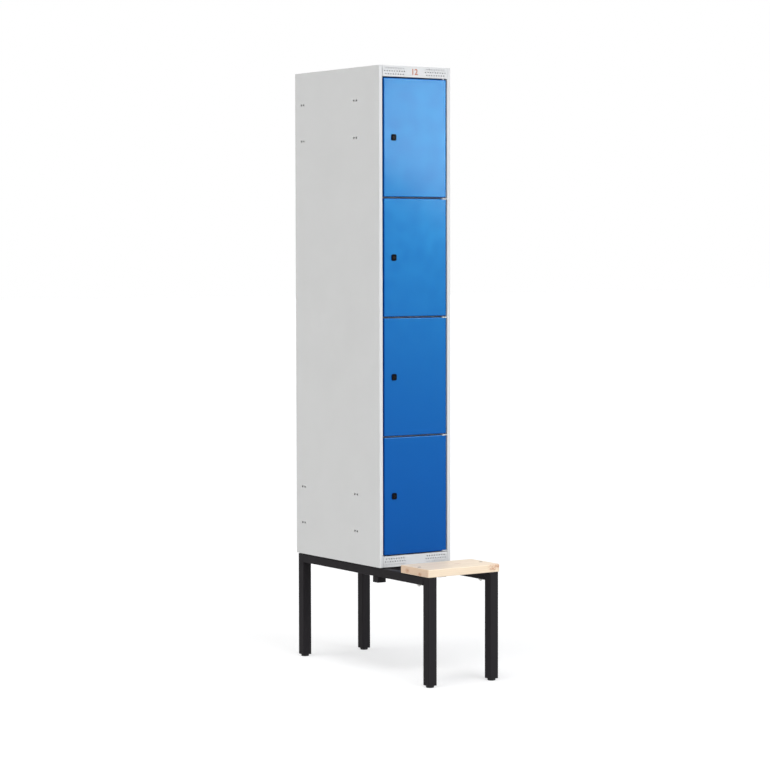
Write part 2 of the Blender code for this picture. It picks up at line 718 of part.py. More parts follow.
def screw_part(name, outline, place, material, sides):
    """A turned piece: an outline of (radius, height) points, from top to bottom, and a Screw."""
    work = bmesh.new()
    points = [work.verts.new((radius, 0.0, height)) for radius, height in outline]
    for first, second in zip(points, points[1:]):
        work.edges.new((first, second))
    mesh = bpy.data.meshes.new(name)
    work.to_mesh(mesh)
    work.free()
    part = add_object(name, mesh, PARTS, place)
    part.data.materials.append(material)
    turn = part.modifiers.new("turn", "SCREW")
    turn.steps = sides
    turn.render_steps = sides
    turn.use_merge_vertices = True
    turn.merge_threshold = FIT_GAP / 10
    return part


def rails_and_crossbars():
    """Two rails from the front legs to the rear legs, and two crossbars between the rails."""
    half = TUBE / 2
    front = FRONT_LEG_Y + half + FIT_GAP
    rear = REAR_LEG_Y - half - FIT_GAP
    for name, x in (("rail_left", -RAIL_X), ("rail_right", RAIL_X)):
        rail = tube_part(name, (x - half, front, RAIL_BOTTOM), (x + half, rear, BASE_HEIGHT), 1)
        middle = (x, BENCH_MID_Y, (BASE_HEIGHT + RAIL_BOTTOM) / 2)
        cut(rail, cylinder_tool(name + "_bench_hole", [middle], BOLT_HOLE_DIAMETER,
                                RAIL_HEIGHT + 2 * CUT_OVERRUN, 2, SMALL_SIDES))
        bolts = [(bolt_x, bolt_y, BASE_HEIGHT) for bolt_x, bolt_y in locker_bolt_centres()
                 if bolt_x == x]
        cut(rail, cylinder_tool(name + "_locker_holes", bolts, BOLT_HOLE_DIAMETER,
                                  2 * CUT_OVERRUN, 2, SMALL_SIDES))
    reach = RAIL_X - half - FIT_GAP
    for name, y in (("crossbar_front", CROSSBAR_Y), ("crossbar_rear", REAR_LEG_Y)):
        tube_part(name, (-reach, y - half, RAIL_BOTTOM), (reach, y + half, BASE_HEIGHT), 0)


def stubs():
    """Short closed tubes under the rails, by the front crossbar."""
    half = TUBE / 2
    low = RAIL_BOTTOM - STUB_LENGTH
    for name, x in (("stub_left", -RAIL_X), ("stub_right", RAIL_X)):
        stub = tube_part(name, (x - half, CROSSBAR_Y - half, low),
                         (x + half, CROSSBAR_Y + half, RAIL_BOTTOM - FIT_GAP), 2)
        end_plate(stub, x, CROSSBAR_Y, low)


def rubber_strips():
    """Rubber strips on the rails that hold the locker clear of them."""
    half = STRIP_WIDTH / 2
    bolts = locker_bolt_centres()
    for name, x in (("rubber_strip_left", -RAIL_X), ("rubber_strip_right", RAIL_X)):
        strip = box_part(name, (x - half, FRONT + STRIP_END_INSET, BASE_HEIGHT + FIT_GAP),
                         (x + half, BACK - STRIP_END_INSET, LOCKER_BOTTOM - FIT_GAP), RUBBER)
        holes = [(bolt_x, bolt_y, BASE_HEIGHT) for bolt_x, bolt_y in bolts if bolt_x == x]
        cut(strip, cylinder_tool(name + "_holes", holes, BOLT_HOLE_DIAMETER,
                                 2 * (STRIP_HEIGHT + CUT_OVERRUN), 2, SMALL_SIDES))


def hexagon_part(name, x, y, bottom, flats, height):
    """An upright hexagon of zinc-plated steel, such as a nut or a bolt's head."""
    work = bmesh.new()
    cylinder_work(work, Vector(), across_corners(flats), height, 2, 6)
    part = add_object(name, mesh_from(name, work), PARTS, (x, y, bottom + height / 2))
    part.data.materials.append(ZINC)
    return part


def locker_bolts():
    """Hexagon bolts through the locker's floor and the strips into the rails."""
    head_bottom = LOCKER_BOTTOM + SHEET + FIT_GAP
    shank_top = head_bottom + LOCKER_BOLT_HEAD / 2
    tip = BASE_HEIGHT - LOCKER_BOLT_REACH
    for number, (x, y) in enumerate(locker_bolt_centres(), start=1):
        bolt = hexagon_part(f"locker_bolt_{number}", x, y, head_bottom, LOCKER_BOLT_HEAD_FLATS,
                            LOCKER_BOLT_HEAD)
        join(bolt, cylinder_tool(bolt.name + "_shank", [(x, y, (tip + shank_top) / 2)],
                                 BOLT_DIAMETER, shank_top - tip, 2, SMALL_SIDES))


# Bench

def bench_board():
    """The bench board with rounded corners and edges, and a sunk hole over each rail."""
    work, centre = box_work((-HALF_WIDTH, BENCH_FRONT, BENCH_BOTTOM),
                            (HALF_WIDTH, BENCH_FRONT + BENCH_DEPTH, BENCH_TOP))
    round_edges(work, edges_along(work, 2), BENCH_CORNER_RADIUS, 4)
    flat = [edge for edge in work.edges if abs(edge.verts[0].co.z - edge.verts[1].co.z) < FIT_GAP]
    round_edges(work, flat, BENCH_EDGE_RADIUS, 2)
    board = add_object("bench_board", mesh_from("bench_board", work), PARTS, centre)
    board.data.materials.append(PINE)
    shade_round(board)
    sunk = BENCH_BOLT_SUNK + BENCH_BOLT_HEAD + FIT_GAP
    heads = [(side * RAIL_X, BENCH_MID_Y, BENCH_TOP) for side in (-1, 1)]
    cut(board, cylinder_tool("bench_head_holes", heads,
                               BENCH_BOLT_HEAD_DIAMETER + 4 * FIT_GAP, 2 * sunk, 2, ROUND_SIDES))
    middle = (BENCH_BOTTOM + BENCH_TOP) / 2
    shanks = [(side * RAIL_X, BENCH_MID_Y, middle) for side in (-1, 1)]
    cut(board, cylinder_tool("bench_shank_holes", shanks, BOLT_HOLE_DIAMETER,
                               BENCH_THICKNESS + 2 * CUT_OVERRUN, 2, SMALL_SIDES))


def bench_bolts_and_nuts():
    """Bolts with a hexagon socket through the board and the rails, and nuts under the rails."""
    sunk_top = BENCH_TOP - BENCH_BOLT_SUNK
    nut_bottom = RAIL_BOTTOM - FIT_GAP - BENCH_NUT
    tip = nut_bottom - BENCH_BOLT_TAIL - sunk_top
    outline = [(0.0, 0.0), (BENCH_BOLT_HEAD_DIAMETER / 2, 0.0),
               (BENCH_BOLT_HEAD_DIAMETER / 2, -BENCH_BOLT_HEAD),
               (BOLT_DIAMETER / 2, -BENCH_BOLT_HEAD), (BOLT_DIAMETER / 2, tip), (0.0, tip)]
    for side, x in (("left", -RAIL_X), ("right", RAIL_X)):
        bolt = screw_part(f"bench_bolt_{side}", outline, (x, BENCH_MID_Y, sunk_top), DARK_ZINC,
                          SMALL_SIDES)
        cut(bolt, cylinder_tool(bolt.name + "_socket", [(x, BENCH_MID_Y, sunk_top)],
                                across_corners(SOCKET_FLATS), 2 * SOCKET_DEPTH, 2, 6))
        nut = hexagon_part(f"bench_nut_{side}", x, BENCH_MID_Y, nut_bottom, BENCH_NUT_FLATS,
                           BENCH_NUT)
        cut(nut, cylinder_tool(nut.name + "_thread", [(x, BENCH_MID_Y, nut_bottom)],
                               BOLT_HOLE_DIAMETER, 2 * (BENCH_NUT + CUT_OVERRUN), 2, SMALL_SIDES))


def build():
    """Build the whole object."""
    side_panels()
    back_panel()
    roof_floor_and_shelves()
    bands()
    for number in range(1, COMPARTMENTS + 1):
        hinge_lug(number)
    top_hinge_pin()
    doors()
    legs_and_feet()
    rails_and_crossbars()
    stubs()
    rubber_strips()
    locker_bolts()
    bench_board()
    bench_bolts_and_nuts()
    bpy.context.view_layer.update()


build()
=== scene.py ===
# %% [markdown]
# # A locker with a bench
#
# A narrow sheet-steel locker with four doors stands on a black tube frame, and the frame runs on
# in front of it to carry a small wooden bench. The load-bearing shapes come from the measured
# model. This lesson dresses them: it lights them, gives them paint, zinc, rubber and wood, and
# adds the fine pieces that a maker would add last.

# %% Load the measured model
import json
import math

import bmesh
import bpy
from mathutils import Matrix, Vector


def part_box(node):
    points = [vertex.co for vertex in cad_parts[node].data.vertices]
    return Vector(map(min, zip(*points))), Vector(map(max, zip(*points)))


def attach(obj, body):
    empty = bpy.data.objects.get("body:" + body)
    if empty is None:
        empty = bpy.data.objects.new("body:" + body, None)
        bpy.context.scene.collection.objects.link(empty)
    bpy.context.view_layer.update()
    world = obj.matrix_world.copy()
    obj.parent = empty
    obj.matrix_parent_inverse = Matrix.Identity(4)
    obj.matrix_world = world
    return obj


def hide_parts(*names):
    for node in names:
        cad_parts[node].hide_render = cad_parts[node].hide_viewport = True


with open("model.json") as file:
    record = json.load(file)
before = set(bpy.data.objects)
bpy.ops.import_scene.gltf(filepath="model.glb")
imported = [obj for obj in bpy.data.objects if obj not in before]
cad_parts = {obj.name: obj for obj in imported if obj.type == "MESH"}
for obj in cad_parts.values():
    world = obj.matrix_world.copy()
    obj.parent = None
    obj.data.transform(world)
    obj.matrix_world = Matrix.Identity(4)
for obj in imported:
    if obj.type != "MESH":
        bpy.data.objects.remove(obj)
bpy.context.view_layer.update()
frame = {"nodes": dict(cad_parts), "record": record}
nodes = frame["nodes"]
print("pieces in the measured model:", len(nodes))

# %% [markdown]
# ## The camera
#
# The picture was taken from a long way off, from the left and from about chest height. The
# camera's place comes from fitting a camera to the locker's straight edges. A long lens from that
# far keeps the uprights upright, so the lens and the distance matter more than the angle does.

# %% Set up the camera
IMAGE_SIDE = 770
FOCAL_PIXELS = 2496.27
SENSOR = 36.0
FARTHEST = 200.0
CAMERA_PLACE = Vector((-4.92094, -7.31655, 1.48749))
YAW = math.radians(33.692)
PITCH = math.radians(-3.1196)
ROLL = math.radians(-0.1063)


def camera_turn(yaw, pitch, roll):
    """The camera's rotation from its heading, its tilt and its roll."""
    ahead = Vector((math.sin(yaw) * math.cos(pitch), math.cos(yaw) * math.cos(pitch), math.sin(pitch)))
    right = Vector((math.cos(yaw), -math.sin(yaw), 0.0))
    up = right.cross(ahead)
    across = math.cos(roll) * right + math.sin(roll) * up
    upward = -math.sin(roll) * right + math.cos(roll) * up
    return Matrix((across, upward, -ahead)).transposed().to_4x4()


camera_data = bpy.data.cameras.new("camera")
camera_data.sensor_width = SENSOR
camera_data.lens = FOCAL_PIXELS / IMAGE_SIDE * SENSOR
camera_data.clip_end = FARTHEST
camera = bpy.data.objects.new("camera", camera_data)
camera.matrix_world = Matrix.Translation(CAMERA_PLACE) @ camera_turn(YAW, PITCH, ROLL)
bpy.context.collection.objects.link(camera)
scene = bpy.context.scene
scene.camera = camera
scene.view_settings.view_transform = "Standard"
print("lens in millimetres:", round(camera_data.lens, 2))

# %% [markdown]
# ## Materials from nodes
#
# Every finish here is a Principled shader with a few textures in front of it. A small helper
# starts a material and joins sockets, so that each finish below can be read as a recipe. The
# textures read object coordinates. All pieces keep their origin at the world's origin, so one
# unit of texture is one metre on every piece.

# %% Start a material and add nodes to it
def start_material(name):
    """A new material: its tree, its shader and its object coordinates."""
    material = bpy.data.materials.new(name)
    material.use_nodes = True
    tree = material.node_tree
    shader = tree.nodes["Principled BSDF"]
    place = tree.nodes.new("ShaderNodeTexCoord").outputs["Object"]
    return material, tree, shader, place


def feed(tree, node, inputs):
    """Fill a node's inputs, each with a value or with another node's socket."""
    for name, value in inputs.items():
        if isinstance(value, bpy.types.NodeSocket):
            tree.links.new(value, node.inputs[name])
        else:
            node.inputs[name].default_value = value


def add_node(tree, kind, inputs, **settings):
    """A node of a kind, with its settings made first and its inputs filled."""
    node = tree.nodes.new("ShaderNode" + kind)
    for name, value in settings.items():
        setattr(node, name, value)
    feed(tree, node, inputs)
    return node


def maths(tree, operation, *inputs, **settings):
    """The result of a sum on numbers or sockets."""
    return add_node(tree, "Math", dict(enumerate(inputs)), operation=operation, **settings).outputs[0]


def vector_maths(tree, operation, *inputs):
    """The same for vectors; only a length comes out as a number."""
    node = add_node(tree, "VectorMath", dict(enumerate(inputs)), operation=operation)
    return node.outputs["Value" if operation == "LENGTH" else "Vector"]


print("helpers: start_material, feed, add_node, maths, vector_maths")

# %% [markdown]
# Most detail starts as cloudy noise. It is moved to the range that a socket needs, mixed into the
# colour, or read as a height. A Color Ramp could do the first two, but a ramp hides its numbers in
# handles, and here they stand in the recipe.

# %% Noise, mixing and relief
BUMP_STRENGTH = 1.0
MIX_COLOURS = (6, 7)
MIX_RESULT = 2


def noise(tree, place, scale, detail=2.0, roughness=0.5):
    """Cloudy noise from 0 to 1 around 0.5."""
    return add_node(tree, "TexNoise", {"Vector": place, "Scale": scale, "Detail": detail,
                                       "Roughness": roughness}).outputs["Fac"]


def spread(tree, value, low, high, from_low=0.3, from_high=0.7):
    """Move a value to lie between two numbers; noise mostly lies between 0.3 and 0.7."""
    return add_node(tree, "MapRange", {"Value": value, "From Min": from_low, "From Max": from_high,
                                       "To Min": low, "To Max": high}).outputs["Result"]


def blend_colour(tree, factor, first, second):
    """Mix two colours; each is a colour or a socket."""
    inputs = {"Factor": factor, MIX_COLOURS[0]: first, MIX_COLOURS[1]: second}
    return add_node(tree, "Mix", inputs, data_type="RGBA").outputs[MIX_RESULT]


def bump(tree, height, distance):
    """Raise the surface by a height texture; the distance is in metres."""
    inputs = {"Height": height, "Distance": distance, "Strength": BUMP_STRENGTH}
    return add_node(tree, "Bump", inputs).outputs["Normal"]


def shade(colour, factor=1.0):
    """A colour made lighter or darker, with alpha 1."""
    return (*[min(1.0, channel * factor) for channel in colour], 1.0)


print("helpers: noise, spread, blend_colour, bump, shade")

# %% [markdown]
# ## Powder coat
#
# Powder coat is a thick plastic paint that is melted on in an oven. It levels out, but not quite:
# it keeps a fine orange peel of a millimetre or two, and its gloss drifts a little from place to
# place. So the recipe is a plain colour with very weak clouds in it, a small bump for the peel,
# and clouds in the roughness. The black frame has a finer and deeper grain of the same kind. The
# blue of the doors is a deep one that reflects blue, as pigment near the surface does, and a thin
# clear skin over it reflects white. One glossy layer would make the lower doors grey.

# %% Paint for the locker, its doors and the frame
GREY = (0.60, 0.60, 0.59)
BLUE = (0.0, 0.029, 0.24)
BLUE_GLOSS = (0.0, 0.65, 1.0)
CLEAR_SKIN = {"Coat Weight": 0.065, "Coat Roughness": 0.15}
BLACK = (0.012, 0.0105, 0.012)
PEEL_DEPTH = 0.00004
PEEL_SCALE = 650.0
BLACK_PEEL_SCALE = 1.6 * PEEL_SCALE
CLOUD_SCALE = 7.0
DRIFT = 0.03
WHITE = (1.0, 1.0, 1.0)


def powder_coat(name, colour, roughness, specular, peel_depth=PEEL_DEPTH, peel_scale=PEEL_SCALE,
                gloss_tint=WHITE):
    """Sprayed and baked paint: weak clouds of colour and gloss over a fine orange peel."""
    material, tree, shader, place = start_material(name)
    clouds = noise(tree, place, CLOUD_SCALE, detail=3.0)
    drift = noise(tree, place, CLOUD_SCALE * 3)
    feed(tree, shader, {
        "Base Color": blend_colour(tree, clouds, shade(colour, 1 - DRIFT), shade(colour, 1 + DRIFT)),
        "Roughness": spread(tree, drift, roughness - DRIFT, roughness + DRIFT),
        "Normal": bump(tree, noise(tree, place, peel_scale, detail=1.5), peel_depth),
        "Specular IOR Level": specular, "Specular Tint": shade(gloss_tint)})
    return material, tree, shader


grey_paint = powder_coat("locker_grey_powder_coat", GREY, roughness=0.60, specular=0.09)[0]
blue_paint, blue_tree, blue_shader = powder_coat("door_blue_powder_coat", BLUE, roughness=0.50,
                                                 specular=0.70, gloss_tint=BLUE_GLOSS)
feed(blue_tree, blue_shader, CLEAR_SKIN)
black_paint = powder_coat("frame_black_powder_coat", BLACK, roughness=0.60, specular=0.10,
                          peel_depth=2 * PEEL_DEPTH, peel_scale=BLACK_PEEL_SCALE)[0]
print("paints:", [paint.name for paint in (grey_paint, blue_paint, black_paint)])

# %% [markdown]
# ## Plastic and rubber
#
# The locks, the feet and the strips under the locker are moulded. The mould is spark-eroded, so
# the surface is a fine matt grain, which is a bump far smaller than the paint's. Handling polishes
# it a little here and there, so the roughness drifts from place to place.

# %% Moulded plastic
TINT_SCALE = 60.0
DARKER, LIGHTER = 0.85, 1.2
WEAR_SCALE = 90.0
WEAR = 0.05
GRAIN_SCALE = 2200.0
LOCK_BLACK = (0.004, 0.004, 0.005)
FOOT_BLACK = (0.014, 0.014, 0.014)
# The strips under the locker are darker than black rubber is: their colour also holds painted shade, so
# that they read as the shadowed line beneath the locker.
RUBBER_BLACK_WITH_SHADE = (0.006, 0.006, 0.006)


def moulded_plastic(name, colour, roughness, specular, grain_depth):
    """Plastic or rubber with a fine spark-eroded grain."""
    material, tree, shader, place = start_material(name)
    feed(tree, shader, {
        "Base Color": blend_colour(tree, noise(tree, place, TINT_SCALE), shade(colour, DARKER),
                                   shade(colour, LIGHTER)),
        "Roughness": spread(tree, noise(tree, place, WEAR_SCALE), roughness - WEAR, roughness + WEAR),
        "Normal": bump(tree, noise(tree, place, GRAIN_SCALE), grain_depth),
        "Specular IOR Level": specular})
    return material


lock_black = moulded_plastic("lock_black_plastic", LOCK_BLACK, roughness=0.60, specular=0.02,
                             grain_depth=0.000006)
foot_black = moulded_plastic("foot_black_plastic", FOOT_BLACK, roughness=0.50, specular=0.20,
                             grain_depth=0.00002)
# This rubber's near-black colour is partly painted shade for the shadow line under the locker.
rubber = moulded_plastic("black_rubber", RUBBER_BLACK_WITH_SHADE, roughness=0.80, specular=0.05,
                         grain_depth=0.00003)
print("moulded:", [finish.name for finish in (lock_black, foot_black, rubber)])

# %% [markdown]
# ## Zinc
#
# The nuts, the locker's bolts, the hinge pins and the lock cams are plated with bright zinc. That
# is bare metal, so it is all mirror, dulled by a bloom of small pale clouds. The bench's bolts are
# plated black: the same skin, but so dark and dull that it works like a paint, without metal.

# %% Zinc plating
ZINC = (0.60, 0.61, 0.63)
ZINC_BLOOM = (0.66, 0.63, 0.55)
DARK_ZINC = (0.008, 0.008, 0.009)
DARK_BLOOM = (0.014, 0.013, 0.012)
BARE = 0.9
BLOOM_SCALE = 140.0
DULLING_SCALE = 400.0
PLATE_ROUGHNESS = (0.26, 0.42)
CRYSTAL_SCALE = 3000.0
CRYSTAL_RELIEF = 0.00001


def zinc_plate(name, colour, bloom_colour, metallic, specular):
    """Zinc plating whose colour drifts towards a second one, the bloom, in small clouds."""
    material, tree, shader, place = start_material(name)
    bloom = noise(tree, place, BLOOM_SCALE, detail=3.0)
    dulling = noise(tree, place, DULLING_SCALE, detail=4.0)
    feed(tree, shader, {
        "Base Color": blend_colour(tree, bloom, shade(colour, BARE), shade(bloom_colour)),
        "Roughness": spread(tree, dulling, *PLATE_ROUGHNESS),
        "Normal": bump(tree, noise(tree, place, CRYSTAL_SCALE), CRYSTAL_RELIEF),
        "Metallic": metallic, "Specular IOR Level": specular})
    return material


zinc = zinc_plate("bright_zinc_plate", ZINC, ZINC_BLOOM, metallic=1.0, specular=0.5)
dark_zinc = zinc_plate("black_zinc_plate", DARK_ZINC, DARK_BLOOM, metallic=0.0, specular=0.04)
print("plated:", zinc.name, dark_zinc.name)

# %% [markdown]
# ## Wood
#
# The bench is a board glued up from strips of pale softwood. The grain runs along the bench, so
# the top shows long streaks and the ends show arcs. Both come from one texture: rings around an
# axis that lies far under the board, along the grain. Noise that is stretched along the grain
# bends the rings, and every strip gets its own shift and its own tone.

# %% Knots
KNOTS = (((0.136, -0.4225, 0.398), 0.020), ((0.121, -0.4225, 0.389), 0.011),
         ((-0.150, -0.296, 0.389), 0.016), ((-0.150, -0.372, 0.384), 0.014),
         ((0.030, -0.335, 0.404), 0.009))
KNOT_SHAPE = (0.45, 1.0, 1.6)
KNOT_EDGE_SCALE = 200.0
KNOT_EDGE = (0.1, 1.3)


def knots(tree, place):
    """1 in the middle of each knot, falling to 0 at its rim, with ragged edges."""
    total = 0.0
    for centre, reach in KNOTS:
        flat = vector_maths(tree, "MULTIPLY", vector_maths(tree, "SUBTRACT", place, centre), KNOT_SHAPE)
        inside = spread(tree, vector_maths(tree, "LENGTH", flat), 1.0, 0.0, from_low=0.0,
                        from_high=reach)
        total = maths(tree, "MAXIMUM", total, inside)
    ragged = spread(tree, noise(tree, place, KNOT_EDGE_SCALE, detail=3.0), *KNOT_EDGE)
    return maths(tree, "MULTIPLY", total, ragged)


print("knots:", len(KNOTS))

# %% [markdown]
# A saw cuts across the rings at the board's ends, where the open pores drink the lacquer and look
# darker. The surface's own direction tells ends from faces, so no separate material is needed.

# %% Strips, rings and end grain
STRIP_WIDTH = 0.034
STRIP_SHIFT = (3.0, 0.3, 0.4)
GRAIN_STRETCH = (0.12, 1.0, 1.0)
RINGS = {"Scale": 55.0, "Distortion": 3.5, "Detail": 2.0, "Detail Scale": 0.5,
         "Detail Roughness": 0.55}
STREAKS = (0.0, 0.75)
FIBRE_SCALE = 900.0
PORE_SCALE = 420.0
PORES = (0.75, 1.25)
END_SHARE = (0.0, 0.8)


def strip_chance(tree, place):
    """A random number and a random colour for each strip of the board."""
    across = add_node(tree, "SeparateXYZ", {"Vector": place}).outputs["Y"]
    strip = maths(tree, "FLOOR", maths(tree, "DIVIDE", across, STRIP_WIDTH))
    chance = add_node(tree, "TexWhiteNoise", {"W": strip}, noise_dimensions="1D")
    return chance.outputs["Value"], chance.outputs["Color"]


def grain(tree, place, shift):
    """Growth rings broken up by fibres, and the fibres alone."""
    offset = vector_maths(tree, "MULTIPLY", shift, STRIP_SHIFT)
    stretched = vector_maths(tree, "MULTIPLY", vector_maths(tree, "ADD", place, offset), GRAIN_STRETCH)
    rings = add_node(tree, "TexWave", {"Vector": stretched, **RINGS}, wave_type="RINGS",
                     rings_direction="X", wave_profile="SAW").outputs["Fac"]
    fibres = noise(tree, stretched, FIBRE_SCALE, detail=3.0, roughness=0.6)
    broken = maths(tree, "MULTIPLY", rings, fibres)
    return spread(tree, broken, *STREAKS, from_low=0.1, from_high=0.75), fibres


def end_grain(tree, place):
    """How much of the end's colour shows, from how far a face looks along the grain."""
    normal = add_node(tree, "NewGeometry", {}).outputs["True Normal"]
    facing = maths(tree, "ABSOLUTE", add_node(tree, "SeparateXYZ", {"Vector": normal}).outputs["X"])
    pores = spread(tree, noise(tree, place, PORE_SCALE, detail=3.0), *PORES)
    share = spread(tree, facing, *END_SHARE, from_low=0.5, from_high=0.9)
    return maths(tree, "MULTIPLY", share, pores, use_clamp=True)


board_low, board_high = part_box("bench_board")
print("strips across the bench:", round((board_high.y - board_low.y) / STRIP_WIDTH, 1))

# %% [markdown]
# The board's finish is put together from these parts in the order in which they lie in the wood:
# the tone of the strip, the streaks of its rings, the darker ends and last the knots. The fibres
# that draw the grain also roughen the lacquer a little, so colour, gloss and relief agree.

# %% The bench's wood
PALE_WOOD = (0.76, 0.625, 0.46)
DARK_WOOD = (0.66, 0.50, 0.35)
END_WOOD = (0.62, 0.43, 0.29)
KNOT_WOOD = (0.40, 0.15, 0.06)
PALEST, DEEPEST = 1.06, 0.86
STRIP_TONES = (0.0, 0.35)
FIBRE_RELIEF = 0.00003
LACQUER_ROUGHNESS = (0.34, 0.46)


def lacquered_wood(name):
    """Glued strips of pale wood under satin lacquer, with the grain along X."""
    material, tree, shader, place = start_material(name)
    tone, shift = strip_chance(tree, place)
    streaks, fibres = grain(tree, place, shift)
    tone = spread(tree, tone, *STRIP_TONES, from_low=0.0, from_high=1.0)
    light = blend_colour(tree, tone, shade(PALE_WOOD, PALEST), shade(PALE_WOOD, DEEPEST))
    tint = blend_colour(tree, streaks, light, shade(DARK_WOOD))
    tint = blend_colour(tree, end_grain(tree, place), tint, shade(END_WOOD))
    feed(tree, shader, {
        "Base Color": blend_colour(tree, knots(tree, place), tint, shade(KNOT_WOOD)),
        "Roughness": spread(tree, fibres, *LACQUER_ROUGHNESS),
        "Normal": bump(tree, fibres, FIBRE_RELIEF),
        "Specular IOR Level": 0.4})
    return material


bench_wood = lacquered_wood("bench_lacquered_softwood")
print("wood:", bench_wood.name)

# %% [markdown]
# ## Finish for each measured piece
#
# The record names a finish slot for every measured piece, so the paint is put on by slot. A piece
# that keeps its measured shape needs nothing else.

# %% Paint the measured pieces
FINISH = {"body_grey": grey_paint, "door_blue": blue_paint, "frame_black": black_paint,
          "lock_black": lock_black, "foot_black": foot_black, "black_rubber": rubber,
          "zinc": zinc, "dark_zinc": dark_zinc, "bench_wood": bench_wood}

for entry in frame["record"]["subparts"]:
    piece = nodes[entry["node"]]
    finish = FINISH[entry["material_slot"]]
    for material_slot in piece.material_slots:
        material_slot.material = finish
print("finishes:", len(FINISH))

# %% [markdown]
# ## Tools for the fine pieces
#
# The measured solids have few faces, so that the physics stays quick. The pieces below stand for
# them where finer curves show: folded sheet, tube corners, threads, locks and the bench. Nearly
# all of them are lofts, which are rows of outlines joined by a skin. A turned piece is a loft of
# circles, a tube is a loft of rounded squares, and a folded panel is a loft of one folded line.
# Booleans are kept for real holes, because they are what a drill or a punch leaves.

# %% Turn a mesh into a piece of the object
SHARP_ANGLE = math.radians(40)
BODY_OF = {node: body for body, members in frame["record"]["behaviour"]["bodies"].items()
           for node in members}
SLOT_OF = {entry["node"]: entry["material_slot"] for entry in frame["record"]["subparts"]}


def dress(name, mesh, *stands_for):
    """Show a fine mesh in place of measured pieces, with the body and the finish of the first."""
    slot = SLOT_OF[stands_for[0]]
    piece = bpy.data.objects.new(name, mesh)
    bpy.context.collection.objects.link(piece)
    mesh.materials.clear()
    mesh.materials.append(FINISH[slot])
    mesh.shade_smooth()
    mesh.set_sharp_from_angle(angle=SHARP_ANGLE)
    weighted = piece.modifiers.new("weighted_normals", "WEIGHTED_NORMAL")
    weighted.keep_sharp = True
    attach(piece, BODY_OF[stands_for[0]])
    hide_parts(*stands_for)


print("bodies that move or stand:", len(set(BODY_OF.values())))

# %% [markdown]
# A loft needs rows with equally many points. Each row is joined to the next by a belt of
# four-sided faces. Then the ends get caps, or the last row is joined to the first. Curves with a
# bevel or the Spin tool could make some of these shapes, but one function that makes them all is
# easier to check.

# %% A skin over a row of outlines
def mesh_of(work):
    """Turn a bmesh into a mesh whose faces look outwards."""
    bmesh.ops.recalc_face_normals(work, faces=work.faces)
    mesh = bpy.data.meshes.new("shape")
    work.to_mesh(mesh)
    work.free()
    return mesh


def loft(loops, ring=False):
    """Join a row of outlines with equal point counts; cap the ends or close the row on itself."""
    work = bmesh.new()
    rows = [[work.verts.new(point) for point in loop] for loop in loops]
    pairs = list(zip(rows, rows[1:]))
    if ring:
        pairs.append((rows[-1], rows[0]))
    else:
        work.faces.new(rows[0])
        work.faces.new(rows[-1])
    for first, second in pairs:
        for step in range(len(first)):
            after = (step + 1) % len(first)
            work.faces.new((first[step], first[after], second[after], second[step]))
    return mesh_of(work)


print("helpers: mesh_of, loft")

# %% [markdown]
# The outlines are plain lists of points about zero, drawn flat. One helper then lays such a list
# across any axis. So a circle serves a bolt that stands up and a lock that points at you alike.

# %% Outlines to loft
def circle(radius, sides):
    """Points of a circle about zero."""
    turns = [2 * math.pi * step / sides for step in range(sides)]
    return [(radius * math.cos(turn), radius * math.sin(turn)) for turn in turns]


def rounded_box(half_u, half_v, radius, steps):
    """Points of a rectangle with round corners about zero: four times as many as steps plus one."""
    points = []
    for quarter, (side_u, side_v) in enumerate(((1, 1), (-1, 1), (-1, -1), (1, -1))):
        for step in range(steps + 1):
            turn = math.radians(90 * (quarter + step / steps))
            points.append((side_u * (half_u - radius) + radius * math.cos(turn),
                           side_v * (half_v - radius) + radius * math.sin(turn)))
    return points


def lay(points, centre, axis, place):
    """Put flat points across an axis at a place along it, about a centre."""
    laid = []
    for u, v in points:
        spot = Vector(centre)
        spot[axis] = place
        spot[(axis + 1) % 3] += u
        spot[(axis + 2) % 3] += v
        laid.append(spot)
    return laid


def turned_rows(outline, centre, axis, sides):
    """The circles of a turned piece whose outline is (radius, place along the axis) points."""
    return [lay(circle(radius, sides), centre, axis, place) for radius, place in outline]


def drawn(outline, axis, low, high, centre=(0.0, 0.0, 0.0)):
    """An outline drawn along an axis."""
    return loft([lay(outline, centre, axis, low), lay(outline, centre, axis, high)])


print("helpers: circle, rounded_box, lay, turned_rows, drawn")

# %% [markdown]
# A thread is a loft too. Along it, the radius of each point rises and falls with its height and
# its angle together, which is a helix. A Screw modifier on a tooth shape also makes threads, but
# they don't fade out at the ends.

# %% Threads
ROWS_PER_TURN = 5


def threaded_rows(radius, depth, pitch, low, high, centre, axis, sides):
    """Rows of a screw thread: the radius rises and falls along a helix and fades at both ends."""
    count = round((high - low) / pitch * ROWS_PER_TURN)
    rows = []
    for row in range(count + 1):
        place = low + (high - low) * row / count
        fade = min(1.0, (place - low) / pitch, (high - place) / pitch)
        points = []
        for u, v in circle(1.0, sides):
            phase = (place / pitch - math.atan2(v, u) / (2 * math.pi)) % 1.0
            crest = 1.0 - abs(2 * phase - 1.0)
            reach = radius - depth * (1.0 - crest * fade)
            points.append((u * reach, v * reach))
        rows.append(lay(points, centre, axis, place))
    return rows


print("rows in a turn of thread:", ROWS_PER_TURN)

# %% [markdown]
# A Boolean modifier needs two objects. They are made for it and removed again, so that only the
# resulting mesh is left. The exact solver is the one to take where faces lie in one plane, as
# they do on folded sheet.

# %% Booleans on bare meshes
def combined(mesh, tool_mesh, operation="DIFFERENCE"):
    """One mesh with another cut out of it or joined to it."""
    whole = bpy.data.objects.new("whole", mesh)
    tool = bpy.data.objects.new("tool", tool_mesh)
    for item in (whole, tool):
        bpy.context.collection.objects.link(item)
    modifier = whole.modifiers.new("combine", "BOOLEAN")
    modifier.operation = operation
    modifier.solver = "EXACT"
    modifier.object = tool
    graph = bpy.context.evaluated_depsgraph_get()
    result = bpy.data.meshes.new_from_object(whole.evaluated_get(graph))
    for item in (whole, tool):
        bpy.data.objects.remove(item)
    return result


